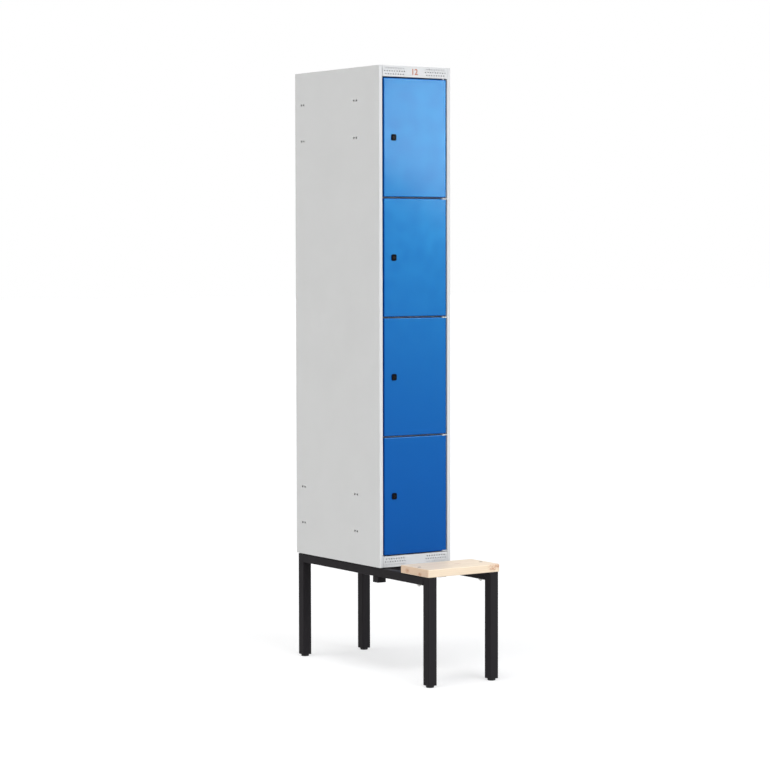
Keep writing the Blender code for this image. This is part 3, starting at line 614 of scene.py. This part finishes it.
def gathered(meshes):
    """Several closed shells as one mesh."""
    work = bmesh.new()
    for mesh in meshes:
        work.from_mesh(mesh)
    return mesh_of(work)


def drills(centres, diameter, depth, axis, sides=24):
    """One tool with a drill along an axis through each centre, this deep to either side."""
    outline = circle(diameter / 2, sides)
    return gathered([drawn(outline, axis, centre[axis] - depth, centre[axis] + depth, centre)
                     for centre in centres])


print("helpers: combined, gathered, drills")

# %% [markdown]
# ## The folded steel of the body
#
# The side panels, the header and the plinth are bent from 1 mm sheet. A press brake leaves a small
# radius at each bend, which catches a line of light. One function turns a folded line into a
# closed outline: it offsets the line by the sheet's thickness and puts an arc in each bend. The
# outline is then drawn along the sheet. A Solidify modifier with a Bevel could do the same, but
# it would round the raw edges too, and those are cut square.

# %% Folded sheet
SHEET = 0.001
BEND_STEPS = 7
BODY_BEND = 0.002


def bend_arc(corner, arriving, leaving, radius):
    """The points of an arc of this radius in a square bend."""
    hub = corner + (leaving - arriving) * radius
    turns = [math.radians(90 * step / BEND_STEPS) for step in range(BEND_STEPS + 1)]
    return [hub - leaving * radius * math.cos(turn) + arriving * radius * math.sin(turn)
            for turn in turns]


def folded_outline(line, inner_radius):
    """A closed outline of sheet whose one face follows a line; the sheet lies to its left."""
    line = [Vector(point) for point in line]
    runs = [(second - first).normalized() for first, second in zip(line, line[1:])]
    lefts = [Vector((-run.y, run.x)) for run in runs]
    near = [line[0]]
    far = [line[0] + lefts[0] * SHEET]
    for place in range(1, len(line) - 1):
        arriving, leaving = runs[place - 1], runs[place]
        turns_left = arriving.cross(leaving) > 0
        near_radius = inner_radius + (SHEET if turns_left else 0.0)
        far_radius = inner_radius + (0.0 if turns_left else SHEET)
        far_corner = line[place] + (lefts[place - 1] + lefts[place]) * SHEET
        near += bend_arc(line[place], arriving, leaving, near_radius)
        far += bend_arc(far_corner, arriving, leaving, far_radius)
    near.append(line[-1])
    far.append(line[-1] + lefts[-1] * SHEET)
    return near + far[::-1]


print("sheet and bend radius in millimetres:", SHEET * 1000, BODY_BEND * 1000)

# %% [markdown]
# ## Header and plinth
#
# Both bands are channels with two groups of air holes in three staggered rows. The holes are
# punched, so they are plain round holes with sharp rims, and the dark inside shows through them.

# %% Bands with their air holes
VENT_DIAMETER = 0.0045
VENT_PITCH = 0.0103
VENT_ROW_PITCH = 0.010
VENT_GROUP_OFFSET = 0.0857
VENT_ROWS = (8, 9, 8)
VENT_SIDES = 16


def vent_centres(front, middle):
    """Centres of the air holes in a band with this middle height."""
    centres = []
    for side in (-1, 1):
        for row, count in enumerate(VENT_ROWS):
            for step in range(count):
                x = side * VENT_GROUP_OFFSET + (step - (count - 1) / 2) * VENT_PITCH
                centres.append((x, front, middle + (1 - row) * VENT_ROW_PITCH))
    return centres


def band(node):
    """A channel that is open at the rear, with its air holes."""
    low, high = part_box(node)
    line = [(high.y, high.z), (low.y, high.z), (low.y, low.z), (high.y, low.z)]
    mesh = drawn(folded_outline(line, SHEET / 2), 0, low.x, high.x)
    centres = vent_centres(low.y, (low.z + high.z) / 2)
    return combined(mesh, drills(centres, VENT_DIAMETER, 2 * SHEET, 1, VENT_SIDES)), len(centres)


plinth_mesh, plinth_holes = band("plinth_band")
dress("plinth_with_air_holes", plinth_mesh, "plinth_band")
header_mesh, header_holes = band("header_band")
print("air holes:", header_holes, "and", plinth_holes)

# %% [markdown]
# The highest door hangs on a pin that stands in the header's lower flange, so that flange is
# drilled through. The hole is a little wider than the pin, as a drilled hole for a pin is.

# %% The pin's hole in the header
PIN_HOLE_DIAMETER = 0.0056
pin_low, pin_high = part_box("hinge_pin_top")
header_low, header_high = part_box("header_band")
pin_middle = (pin_low + pin_high) / 2
pin_hole = (pin_middle.x, pin_middle.y, header_low.z)
header_mesh = combined(header_mesh, drills([pin_hole], PIN_HOLE_DIAMETER, 2 * SHEET, 2))
dress("header_with_air_holes", header_mesh, "header_band")
print("pin hole in millimetres from the middle:", round(pin_hole[0] * 1000, 1))

# %% [markdown]
# ## Side panels
#
# Each side panel folds round the front to make the stile beside the doors. On the left it goes on
# into the lip that the doors close against. Pairs of holes near the front and rear edges take the
# screws that join one locker to the next. A tab folded in at the top closes each stile, or its
# open end would show from above as a dark hole in the corner.

# %% Joining holes and stile tabs
SIDE_HOLE_DIAMETER = 0.008
SIDE_HOLE_PAIR_PITCH = 0.016
SIDE_HOLE_FRONT_INSET = 0.152
SIDE_HOLE_REAR_INSET = 0.050
SIDE_HOLE_END_INSET = 0.115
SIDE_HOLE_STEP = 0.130
TAB_LAP = 0.0001


def side_hole_centres(x, low, high):
    """Centres of the joining holes of a side panel with these corners."""
    centres = []
    for inset in (SIDE_HOLE_END_INSET, SIDE_HOLE_END_INSET + SIDE_HOLE_STEP):
        for z in (low.z + inset, high.z - inset):
            for middle in (low.y + SIDE_HOLE_FRONT_INSET, high.y - SIDE_HOLE_REAR_INSET):
                for shift in (-SIDE_HOLE_PAIR_PITCH / 2, SIDE_HOLE_PAIR_PITCH / 2):
                    centres.append((x, middle + shift, z))
    return centres


def side_panel(node, line, outer, inner, rear):
    """A panel along a folded line, with its joining holes and the tab that closes its stile."""
    low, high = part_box(node)
    centres = side_hole_centres(outer, low, high)
    mesh = drawn(folded_outline(line, BODY_BEND), 2, low.z, high.z)
    lap = SHEET - TAB_LAP
    inward = math.copysign(lap, inner - outer)
    tab = [(outer + inward, low.y + lap), (inner - inward, low.y + lap), (inner - inward, rear),
           (outer + inward, rear)]
    mesh = combined(mesh, drawn(tab, 2, high.z - SHEET, high.z), "UNION")
    return combined(mesh, drills(centres, SIDE_HOLE_DIAMETER, 3 * SHEET, 0))


print("joining holes across and apart in millimetres:", SIDE_HOLE_DIAMETER * 1000,
      SIDE_HOLE_PAIR_PITCH * 1000)

# %% [markdown]
# The two lines below are what the press brake follows, seen from above. The left one ends in the
# lip. The lip would run into the header and the plinth, so it is cut away there, with a little
# clearance.

# %% Fold the side panels
LIP_CLEARANCE = 0.0003
stile_rear = header_high.y
left_low, left_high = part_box("side_panel_left")
right_low, right_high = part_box("side_panel_right")
opening = right_low.x
lip_front = stile_rear - SHEET
left_line = [(left_low.x, left_high.y), (left_low.x, left_low.y), (-opening, left_low.y),
             (-opening, lip_front), (left_high.x, lip_front)]
right_line = [(opening, stile_rear), (opening, right_low.y), (right_high.x, right_low.y),
              (right_high.x, right_high.y)]
left_mesh = side_panel("side_panel_left", left_line, left_low.x, -opening, stile_rear)
right_mesh = side_panel("side_panel_right", right_line, right_high.x, opening, stile_rear)
plinth_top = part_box("plinth_band")[1].z
lip_start, lip_end = header_low.x - LIP_CLEARANCE, left_high.x + SHEET
block_front, block_rear = stile_rear - 3 * SHEET, stile_rear + SHEET
lip_block = [(lip_start, block_front), (lip_end, block_front), (lip_end, block_rear),
             (lip_start, block_rear)]
for bottom, top in ((left_low.z - SHEET, plinth_top + LIP_CLEARANCE),
                    (header_low.z - LIP_CLEARANCE, left_high.z + SHEET)):
    left_mesh = combined(left_mesh, drawn(lip_block, 2, bottom, top))
dress("left_side_panel", left_mesh, "side_panel_left")
dress("right_side_panel", right_mesh, "side_panel_right")
print("stile face in millimetres:", round((right_high.x - opening) * 1000, 1))

# %% [markdown]
# ## The tube frame
#
# Square steel tube is rolled from round tube, so its corners are round inside and out. Each tube is
# a skin over four outlines: out along the outside, round the cut end, and back along the inside.
# The legs and the two stubs are closed below by a plate that is welded in. The plates of the legs
# have a hole for the screw feet, and the same skin runs down into it.

# %% Tubes
TUBE_WALL = 0.002
TUBE_CORNER = 0.0025
TUBE_INNER_CORNER = 0.0008
TUBE_CORNER_STEPS = 5
END_PLATE = 0.004
BORE_DIAMETER = 0.0086


def tube_outlines(node, axis):
    """The outer and the inner outline of a measured tube, and its corners and middle."""
    low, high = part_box(node)
    half_u = (high - low)[(axis + 1) % 3] / 2
    half_v = (high - low)[(axis + 2) % 3] / 2
    outer = rounded_box(half_u, half_v, TUBE_CORNER, TUBE_CORNER_STEPS)
    inner = rounded_box(half_u - TUBE_WALL, half_v - TUBE_WALL, TUBE_INNER_CORNER, TUBE_CORNER_STEPS)
    return outer, inner, low[axis], high[axis], (low + high) / 2


def open_tube(node, axis):
    """A tube that is open at both ends."""
    outer, inner, low, high, middle = tube_outlines(node, axis)
    return loft([lay(outer, middle, axis, low), lay(outer, middle, axis, high),
                 lay(inner, middle, axis, high), lay(inner, middle, axis, low)], ring=True)


def upright_tube(node, bored):
    """An upright tube with a plate in its lower end, with or without a bore for a foot."""
    outer, inner, low, high, middle = tube_outlines(node, 2)
    floor = low + END_PLATE
    rows = [lay(outer, middle, 2, low), lay(outer, middle, 2, high),
            lay(inner, middle, 2, high), lay(inner, middle, 2, floor)]
    if bored:
        bore = circle(BORE_DIAMETER / 2, len(outer))
        rows = [lay(bore, middle, 2, low)] + rows + [lay(bore, middle, 2, floor)]
    return loft(rows, ring=bored)


print("tube wall in millimetres:", TUBE_WALL * 1000)

# %% [markdown]
# The rails are drilled for the bolts of the bench and of the locker. Each drill is placed by the
# box of its measured bolt, so a hole can't miss its bolt.

# %% Build the frame
def bolt_bores(rail):
    """Tools for the holes in a rail: one for the bench bolt, through it, and one per locker bolt."""
    low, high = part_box(rail)
    side = rail.split("_")[1]
    bench_low, bench_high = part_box("bench_bolt_" + side)
    bench_centre = (bench_low + bench_high) / 2
    bench_centre.z = (low.z + high.z) / 2
    tools = [drills([bench_centre], BORE_DIAMETER, high.z - low.z, 2)]
    for number in range(1, 5):
        bolt_low, bolt_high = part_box(f"locker_bolt_{number}")
        centre = (bolt_low + bolt_high) / 2
        if low.x < centre.x < high.x:
            centre.z = high.z
            tools.append(drills([centre], BORE_DIAMETER, 2 * TUBE_WALL, 2))
    return gathered(tools)


for corner in ("front_left", "front_right", "rear_left", "rear_right"):
    dress(f"leg_tube_{corner}", upright_tube(f"leg_{corner}", True), f"leg_{corner}")
for side in ("left", "right"):
    rail = f"rail_{side}"
    dress(f"rail_tube_{side}", combined(open_tube(rail, 1), bolt_bores(rail)), rail)
    dress(f"stub_tube_{side}", upright_tube(f"stub_{side}", False), f"stub_{side}")
for end in ("front", "rear"):
    dress(f"crossbar_tube_{end}", open_tube(f"crossbar_{end}", 0), f"crossbar_{end}")

# %% [markdown]
# ## Screw feet
#
# A foot is a hard plastic pad moulded round the head of a threaded stem. It is a turned piece, so
# its outline is a list of radii and heights. The pad's rims are rounded in small steps, and the
# thread goes on from them in the same skin.

# %% Feet with threaded stems
FOOT_SIDES = 32
PAD_HEIGHT = 0.007
PAD_EDGE = 0.0015
RIM_STEPS = 4
STEM_RADIUS = 0.004
THREAD_DEPTH = 0.00045
THREAD_PITCH = 0.00125


def rim_up(radius, height, size):
    """Outline points of a rounded rim that goes up the side and in at a height."""
    turns = [math.radians(90 * step / RIM_STEPS) for step in range(RIM_STEPS + 1)]
    return [(radius - size * (1 - math.cos(turn)), height - size * (1 - math.sin(turn)))
            for turn in turns]


def mirrored(points, height):
    """The same outline upside down about a height."""
    return [(reach, 2 * height - place) for reach, place in points]


def rim_out(radius, height, size):
    """Outline points of a rounded rim that comes out from a height and up the side."""
    return mirrored(rim_up(radius, height, size)[::-1], height)


for corner in ("front_left", "front_right", "rear_left", "rear_right"):
    node = f"foot_{corner}"
    low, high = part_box(node)
    middle = (low + high) / 2
    pad_radius = (high.x - low.x) / 2
    pad_top = low.z + PAD_HEIGHT
    outline = rim_out(pad_radius, low.z, PAD_EDGE) + rim_up(pad_radius, pad_top, PAD_EDGE)
    outline.append((STEM_RADIUS - THREAD_DEPTH, pad_top))
    rows = turned_rows(outline, middle, 2, FOOT_SIDES)
    rows += threaded_rows(STEM_RADIUS, THREAD_DEPTH, THREAD_PITCH, pad_top + THREAD_PITCH / 4,
                          high.z, middle, 2, FOOT_SIDES)
    dress(f"screw_foot_{corner}", loft(rows), node)
print("pad in millimetres across:", round(pad_radius * 2000, 1))

# %% [markdown]
# ## Nuts and bolts
#
# The corners of a real nut are cut back by a cone, so that each flat ends in a curve. A row of
# points round a hexagon gives this without a Boolean: near the ends, no point may reach further
# than a circle, and the circle grows with the distance from the end.

# %% Hexagons with chamfered corners
FASTENER_SIDES = 48
CHAMFER_ROWS = 4
CHAMFER_START = 0.95
CHAMFER_SLOPE = math.tan(math.radians(60))


def hexagon(flats, limit, turn):
    """Points of a hexagon with a corner at an angle; no point lies outside a circle."""
    points = []
    for step in range(FASTENER_SIDES):
        angle = 2 * math.pi * step / FASTENER_SIDES
        from_flat = (angle - turn) % (math.pi / 3) - math.pi / 6
        reach = min(limit, flats / 2 / math.cos(from_flat))
        points.append((reach * math.cos(angle), reach * math.sin(angle)))
    return points


def hexagon_rows(flats, low, high, centre, axis, turn, low_cut=True, high_cut=True):
    """Rows up a hexagon, with its corners cut back at the ends that are asked for."""
    depth = flats / 2 * (1 / math.cos(math.pi / 6) - CHAMFER_START) / CHAMFER_SLOPE
    depths = [depth * step / CHAMFER_ROWS for step in range(CHAMFER_ROWS + 1)]
    near = [(low + step, step) for step in depths] if low_cut else [(low, depth)]
    far = [(high - step, step) for step in depths[::-1]] if high_cut else [(high, depth)]
    rows = []
    for place, from_end in near + far:
        limit = flats / 2 * CHAMFER_START + from_end * CHAMFER_SLOPE
        rows.append(lay(hexagon(flats, limit, turn), centre, axis, place))
    return rows


def ring_nut(flats, bore, low, high, centre, axis, turn):
    """A hexagon nut with a bore."""
    hole = circle(bore / 2, FASTENER_SIDES)
    rows = [lay(hole, centre, axis, low)]
    rows += hexagon_rows(flats, low, high, centre, axis, turn)
    rows.append(lay(hole, centre, axis, high))
    return loft(rows, ring=True)


print("sides of a turned nut or bolt:", FASTENER_SIDES)

# %% [markdown]
# A bolt is one skin from its tip to the top of its head. The locker is held by hexagon bolts from
# below. The bench has round heads with a hexagon socket, which can lie flush in the wood.

# %% A bolt's shank
SHANK_RADIUS = 0.004
TIP_RADIUS = 0.0031
TIP_LENGTH = 0.0006
THREAD_START = 0.0008
THREADED_LENGTH = 0.013
THREAD_RUNOUT = 0.0004


def bolt_tip(tip, shank_end, centre):
    """Rows of a bolt from its tip, along its thread and up to the end of its shank."""
    start = tip + THREAD_START
    end = start + THREADED_LENGTH
    rows = turned_rows([(TIP_RADIUS, tip), (SHANK_RADIUS - THREAD_DEPTH, tip + TIP_LENGTH)],
                       centre, 2, FASTENER_SIDES)
    rows += threaded_rows(SHANK_RADIUS, THREAD_DEPTH, THREAD_PITCH, start, end, centre, 2,
                          FASTENER_SIDES)
    rows += turned_rows([(SHANK_RADIUS, end + THREAD_RUNOUT), (SHANK_RADIUS, shank_end)],
                        centre, 2, FASTENER_SIDES)
    return rows


print("threads in millimetres:", THREAD_PITCH * 1000, "pitch")

# %% Heads with a hexagon or a socket
SOCKET_FLATS = 0.005
SOCKET_DEPTH = 0.0025
HEAD_EDGE = 0.0012
CORNER_ON_V = math.radians(30)


def hexagon_bolt(node, head_height, flats):
    """A bolt with a hexagon head whose corners are cut back on top."""
    low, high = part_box(node)
    middle = (low + high) / 2
    head_low = high.z - head_height
    rows = bolt_tip(low.z, head_low, middle)
    rows += hexagon_rows(flats, head_low, high.z, middle, 2, CORNER_ON_V, low_cut=False)
    return loft(rows)


def socket_bolt(node, head_height, rise):
    """A bolt with a round head that rises over the measured one, and a hexagon socket."""
    low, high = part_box(node)
    middle = (low + high) / 2
    head_low = high.z - head_height
    head_top = high.z + rise
    head_radius = (high.x - low.x) / 2
    rows = bolt_tip(low.z, head_low, middle)
    outline = [(head_radius, head_low)] + rim_up(head_radius, head_top, HEAD_EDGE)
    rows += turned_rows(outline, middle, 2, FASTENER_SIDES)
    for place in (head_top, head_top - SOCKET_DEPTH):
        rows.append(lay(hexagon(SOCKET_FLATS, SOCKET_FLATS, CORNER_ON_V), middle, 2, place))
    return loft(rows)


print("socket in millimetres:", SOCKET_FLATS * 1000, "across,", SOCKET_DEPTH * 1000, "deep")

# %% [markdown]
# The heads of the bench's bolts are raised a little over the measured ones, to just under the
# board's face, so that they show as dark discs in the pale wood. The nuts sit under the rails.

# %% Put in the bolts and nuts
LOCKER_BOLT_HEAD = 0.0053
LOCKER_BOLT_FLATS = 0.013
BENCH_BOLT_HEAD = 0.004
BENCH_BOLT_RISE = 0.0008
BENCH_NUT_FLATS = 0.013
for number in range(1, 5):
    node = f"locker_bolt_{number}"
    dress(f"hexagon_bolt_{number}", hexagon_bolt(node, LOCKER_BOLT_HEAD, LOCKER_BOLT_FLATS), node)
for side in ("left", "right"):
    dress(f"socket_bolt_{side}", socket_bolt(f"bench_bolt_{side}", BENCH_BOLT_HEAD, BENCH_BOLT_RISE),
          f"bench_bolt_{side}")
    low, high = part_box(f"bench_nut_{side}")
    dress(f"hexagon_nut_{side}", ring_nut(BENCH_NUT_FLATS, BORE_DIAMETER, low.z, high.z,
                                          (low + high) / 2, 2, CORNER_ON_V), f"bench_nut_{side}")
print("bench bolts raised by millimetres:", BENCH_BOLT_RISE * 1000)

# %% [markdown]
# ## The bench board
#
# The board is sawn, its corners are rounded with a router, and its edges are broken all round. The
# skin starts at the lower face, rounds the edge in small steps, goes up the side and rounds in
# again. Two stepped holes take the bolts; their rims are chamfered, as a countersink leaves them.

# %% Board with stepped holes
BOARD_CORNER = 0.007
BOARD_EDGE = 0.0025
BOARD_STEPS = 8
HEAD_HOLE_DIAMETER = 0.0152
HEAD_HOLE_DEPTH = 0.0053
RIM = 0.0006
OVERRUN = 0.004


def board_rows():
    """Outlines up the board, with its edges rounded."""
    middle = (board_low + board_high) / 2
    half = (board_high - board_low) / 2
    rows = []
    for inset, place in (rim_out(0.0, board_low.z, BOARD_EDGE)
                         + rim_up(0.0, board_high.z, BOARD_EDGE)):
        outline = rounded_box(half.x + inset, half.y + inset, BOARD_CORNER + inset, BOARD_STEPS)
        rows.append(lay(outline, middle, 2, place))
    return rows


def stepped_hole(bolt):
    """A tool for a bolt's hole: a chamfered rim, a wide part for the head and a bore."""
    low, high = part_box(bolt)
    narrow, wide = BORE_DIAMETER / 2, HEAD_HOLE_DIAMETER / 2
    top = board_high.z
    outline = [(narrow, board_low.z - OVERRUN), (narrow, top - HEAD_HOLE_DEPTH),
               (wide, top - HEAD_HOLE_DEPTH), (wide, top - RIM), (wide + RIM, top),
               (wide + RIM, top + OVERRUN)]
    return loft(turned_rows(outline, (low + high) / 2, 2, FASTENER_SIDES))


board_mesh = combined(loft(board_rows()), gathered([stepped_hole("bench_bolt_left"),
                                                    stepped_hole("bench_bolt_right")]))
dress("glued_board", board_mesh, "bench_board")
print("board faces:", len(board_mesh.polygons))

# %% [markdown]
# ## Locks
#
# Each lock is a black housing with a square face in front of the door. A fine thread runs along it
# to the nut behind the door, and the plug turns inside it. The face is a loft whose outlines change
# from a rounded square to a circle, so its rim rounds over and its middle dips towards the plug.
# The plug has a slot for the key and a square tang at the rear that carries the cam.

# %% Lock housings
LOCK_SIDES = 48
LOCK_CORNER_STEPS = 11
BEZEL_WIDTH = 0.020
BEZEL_HEIGHT = 0.0225
BEZEL_CORNER = 0.005
BEZEL_EDGE = 0.0008
BEZEL_GAP = 0.0003
BARREL_RADIUS = 0.0075
BARREL_BORE = 0.0053
BARREL_THREAD = 0.0004
BARREL_PITCH = 0.001
DISH = ((BARREL_RADIUS, 0.0), (BARREL_RADIUS - 0.0007, 0.0002), (BARREL_BORE + 0.0004, 0.0011),
        (BARREL_BORE, 0.0014))
door_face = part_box("door_1")[0].y


def lock_housing(number):
    """A housing, from its bore's rear end over the thread and the face, and back into the bore."""
    low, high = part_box(f"lock_{number}_case")
    middle = (low + high) / 2
    face_back = door_face - BEZEL_GAP
    rows = turned_rows([(BARREL_BORE, high.y), (BARREL_RADIUS - BARREL_THREAD, high.y)], middle, 1,
                       LOCK_SIDES)
    rows += threaded_rows(BARREL_RADIUS, BARREL_THREAD, BARREL_PITCH, high.y - BARREL_PITCH / 2,
                          face_back + BARREL_PITCH / 2, middle, 1, LOCK_SIDES)
    rows += turned_rows([(BARREL_RADIUS - BARREL_THREAD, face_back)], middle, 1, LOCK_SIDES)
    for inset, place in [(0.0, face_back)] + mirrored(rim_up(0.0, low.y, BEZEL_EDGE), low.y):
        outline = rounded_box(BEZEL_HEIGHT / 2 + inset, BEZEL_WIDTH / 2 + inset,
                              BEZEL_CORNER + inset, LOCK_CORNER_STEPS)
        rows.append(lay(outline, middle, 1, place))
    rows += turned_rows([(radius, low.y + depth) for radius, depth in DISH], middle, 1, LOCK_SIDES)
    return loft(rows, ring=True)


print("door face in metres:", round(door_face, 4))

# %% [markdown]
# The key's slot is a Boolean, because it is cut into a finished plug. The tang is only one more
# outline in the plug's loft, square instead of round.

# %% Lock nuts and plugs
LOCK_NUT_FLATS = 0.021
LOCK_NUT_HEIGHT = 0.003
PLUG_RADIUS = 0.005
PLUG_EDGE = 0.0004
PLUG_DISH = 0.0001
PLUG_DISH_WIDTH = 0.0012
TANG_HALF = 0.003
TANG_CORNER = 0.0004
TANG_LENGTH = 0.0023
SLOT_WIDTH = 0.0014
SLOT_HEIGHT = 0.0065
SLOT_CORNER = 0.0004
SLOT_DEPTH = 0.004


def lock_nut(number):
    """The nut that pulls the housing against the door from behind."""
    low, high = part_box(f"lock_{number}_case")
    front = door_face + SHEET + BEZEL_GAP
    return ring_nut(LOCK_NUT_FLATS, 2 * BARREL_RADIUS, front, front + LOCK_NUT_HEIGHT,
                    (low + high) / 2, 1, 0.0)


def lock_plug(number):
    """The plug with its key slot and its tang."""
    low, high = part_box(f"lock_{number}_plug")
    middle = (low + high) / 2
    shoulder = high.y - TANG_LENGTH
    outline = [(PLUG_RADIUS - PLUG_DISH_WIDTH, low.y + PLUG_DISH)]
    outline += rim_out(PLUG_RADIUS, low.y, PLUG_EDGE) + [(PLUG_RADIUS, shoulder)]
    rows = turned_rows(outline, middle, 1, LOCK_SIDES)
    tang = rounded_box(TANG_HALF, TANG_HALF, TANG_CORNER, LOCK_CORNER_STEPS)
    rows += [lay(tang, middle, 1, shoulder), lay(tang, middle, 1, high.y)]
    slot = rounded_box(SLOT_HEIGHT / 2, SLOT_WIDTH / 2, SLOT_CORNER, RIM_STEPS)
    return combined(loft(rows), drawn(slot, 1, low.y - SLOT_DEPTH, low.y + SLOT_DEPTH, middle))


for number in range(1, 5):
    dress(f"lock_housing_{number}", lock_housing(number), f"lock_{number}_case")
    dress(f"lock_nut_{number}", lock_nut(number), f"lock_{number}_case")
    dress(f"lock_key_plug_{number}", lock_plug(number), f"lock_{number}_plug")

# %% [markdown]
# ## A number on the header
#
# Lockers carry a number, and here it stands in the middle of the header. It is a text that is
# turned into a mesh a tenth of a millimetre thick, like a transfer. It is a piece like the
# others, so it rides on the body that carries the header.

# %% Printed number
NUMBER = "12"
NUMBER_HEIGHT = 0.021
NUMBER_MIDDLE = -0.0025
STROKE_SWELL = 0.025
TRANSFER_THICKNESS = 0.0001
HALF_THICK = 0.5
INK = (0.42, 0.16, 0.10)


def printed_number():
    """The number as a thin raised mesh in front of the header."""
    text = bpy.data.curves.new("number", "FONT")
    text.body = NUMBER
    text.extrude = HALF_THICK
    text.offset = STROKE_SWELL
    text.align_x = "CENTER"
    writing = bpy.data.objects.new("number", text)
    bpy.context.collection.objects.link(writing)
    graph = bpy.context.evaluated_depsgraph_get()
    mesh = bpy.data.meshes.new_from_object(writing.evaluated_get(graph))
    bpy.data.objects.remove(writing)
    heights = [vert.co.y for vert in mesh.vertices]
    bottom = min(heights)
    size = NUMBER_HEIGHT / (max(heights) - bottom)
    foot = (header_low.z + header_high.z - NUMBER_HEIGHT) / 2
    for vert in mesh.vertices:
        vert.co = Vector((NUMBER_MIDDLE + vert.co.x * size,
                          header_low.y - TRANSFER_THICKNESS * (vert.co.z + HALF_THICK),
                          foot + (vert.co.y - bottom) * size))
    return mesh


number_mesh = printed_number()
number_piece = bpy.data.objects.new("header_number", number_mesh)
bpy.context.collection.objects.link(number_piece)
number_mesh.materials.clear()
number_mesh.materials.append(moulded_plastic("number_ink", INK, roughness=0.60, specular=0.10,
                                             grain_depth=0.000004))
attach(number_piece, BODY_OF["header_band"])
print("number:", NUMBER)

# %% [markdown]
# ## Floor and sky
#
# The object stands in a white studio. The floor is white to the camera and keeps only a trace of
# shadow, and to all other rays it is a plain pale floor. The sky works the same way. More light
# would also make them white, but it would bleach the object too, so the Light Path node is used:
# it knows whether a ray comes from the camera, from a mirror or from a matt surface.

# %% White where it is seen
PURE_WHITE = (1.0, 1.0, 1.0, 1.0)
PALE_FLOOR = (0.85, 0.85, 0.85, 1.0)
FLOOR_REACH = 60.0
FLOOR_GLOW = 0.60


def only_seen(tree):
    """1 for rays that see the background directly, by reflection or through glass."""
    path = add_node(tree, "LightPath", {})
    seen = maths(tree, "MAXIMUM", path.outputs["Is Camera Ray"], path.outputs["Is Glossy Ray"])
    return maths(tree, "MAXIMUM", seen, path.outputs["Is Transmission Ray"])


def studio_floor():
    """A wide flat floor, white with a weak shadow where it is seen."""
    mesh = bpy.data.meshes.new("floor")
    work = bmesh.new()
    bmesh.ops.create_grid(work, x_segments=1, y_segments=1, size=FLOOR_REACH)
    work.to_mesh(mesh)
    work.free()
    floor = bpy.data.objects.new("floor", mesh)
    bpy.context.collection.objects.link(floor)
    material, tree, shader = start_material("studio_floor")[:3]
    seen = only_seen(tree)
    feed(tree, shader, {"Base Color": blend_colour(tree, seen, PALE_FLOOR, PURE_WHITE),
                        "Roughness": 0.9, "Specular IOR Level": 0.0})
    glow = add_node(tree, "Emission", {"Color": PURE_WHITE, "Strength": 1.0})
    mix = add_node(tree, "MixShader", {0: maths(tree, "MULTIPLY", seen, FLOOR_GLOW),
                                       1: shader.outputs[0], 2: glow.outputs[0]})
    feed(tree, tree.nodes["Material Output"], {"Surface": mix.outputs[0]})
    mesh.materials.append(material)


studio_floor()
print("floor in metres across:", 2 * FLOOR_REACH)

# %% The sky
SKY_LIGHT = 0.36


def white_sky(strength):
    """A sky that is plain white where it is seen and a soft fill light otherwise."""
    world = bpy.data.worlds.new("sky")
    scene.world = world
    world.use_nodes = True
    tree = world.node_tree
    level = spread(tree, only_seen(tree), strength, 1.0, from_low=0.0, from_high=1.0)
    feed(tree, tree.nodes["Background"], {"Color": PURE_WHITE, "Strength": level})


white_sky(SKY_LIGHT)
print("sky as a lamp:", SKY_LIGHT)

# %% [markdown]
# ## Lamps
#
# A lamp overhead and a little to the left gives the shadow on the floor, and two weaker ones fill
# in the front and the left side. A slanted panel at the right, level with the highest door, is what
# the upper doors mirror, so they are paler than the lower ones. It lights nothing else, because
# only reflections see it.

# %% Lamps and a panel to mirror
OVERHEAD = (-0.22, -0.10, 0.97)
FROM_FRONT = (0.03, -0.90, 0.43)
FROM_LEFT = (-0.95, 0.10, 0.30)
COOL_WHITE = (0.95, 0.985, 1.06)
PANEL_PLACE = (1.95, -2.4, 2.05)
PANEL_TARGET = (0.0, -0.13, 2.05)
PANEL_SIZE = (1.2, 0.8)
PANEL_SLANT = math.radians(30)


def mirrored_panel(power):
    """A soft rectangular lamp that faces a point and that only reflections see, in watts."""
    data = bpy.data.lights.new("mirrored_panel", "AREA")
    data.shape = "RECTANGLE"
    data.size, data.size_y = PANEL_SIZE
    data.energy = power
    panel = bpy.data.objects.new("mirrored_panel", data)
    ahead = Vector(PANEL_TARGET) - Vector(PANEL_PLACE)
    facing = ahead.to_track_quat("-Z", "Y").to_matrix().to_4x4()
    panel.matrix_world = (Matrix.Translation(PANEL_PLACE) @ facing
                          @ Matrix.Rotation(-PANEL_SLANT, 4, "Z"))
    panel.visible_diffuse = False
    bpy.context.collection.objects.link(panel)


def far_lamp(name, source, strength, softness, colour=WHITE):
    """A lamp so far away that it lights the whole floor evenly, with softened shadows."""
    data = bpy.data.lights.new(name, "SUN")
    data.energy = strength
    data.color = colour
    data.angle = math.radians(softness)
    lamp = bpy.data.objects.new(name, data)
    lamp.rotation_euler = Vector(source).to_track_quat("Z", "Y").to_euler()
    bpy.context.collection.objects.link(lamp)


far_lamp("overhead_lamp", OVERHEAD, strength=1.6, softness=30.0)
far_lamp("front_fill", FROM_FRONT, strength=1.9, softness=40.0, colour=COOL_WHITE)
far_lamp("side_fill", FROM_LEFT, strength=0.68, softness=60.0)
mirrored_panel(power=120.0)
print("lamps:", len(bpy.data.lights))
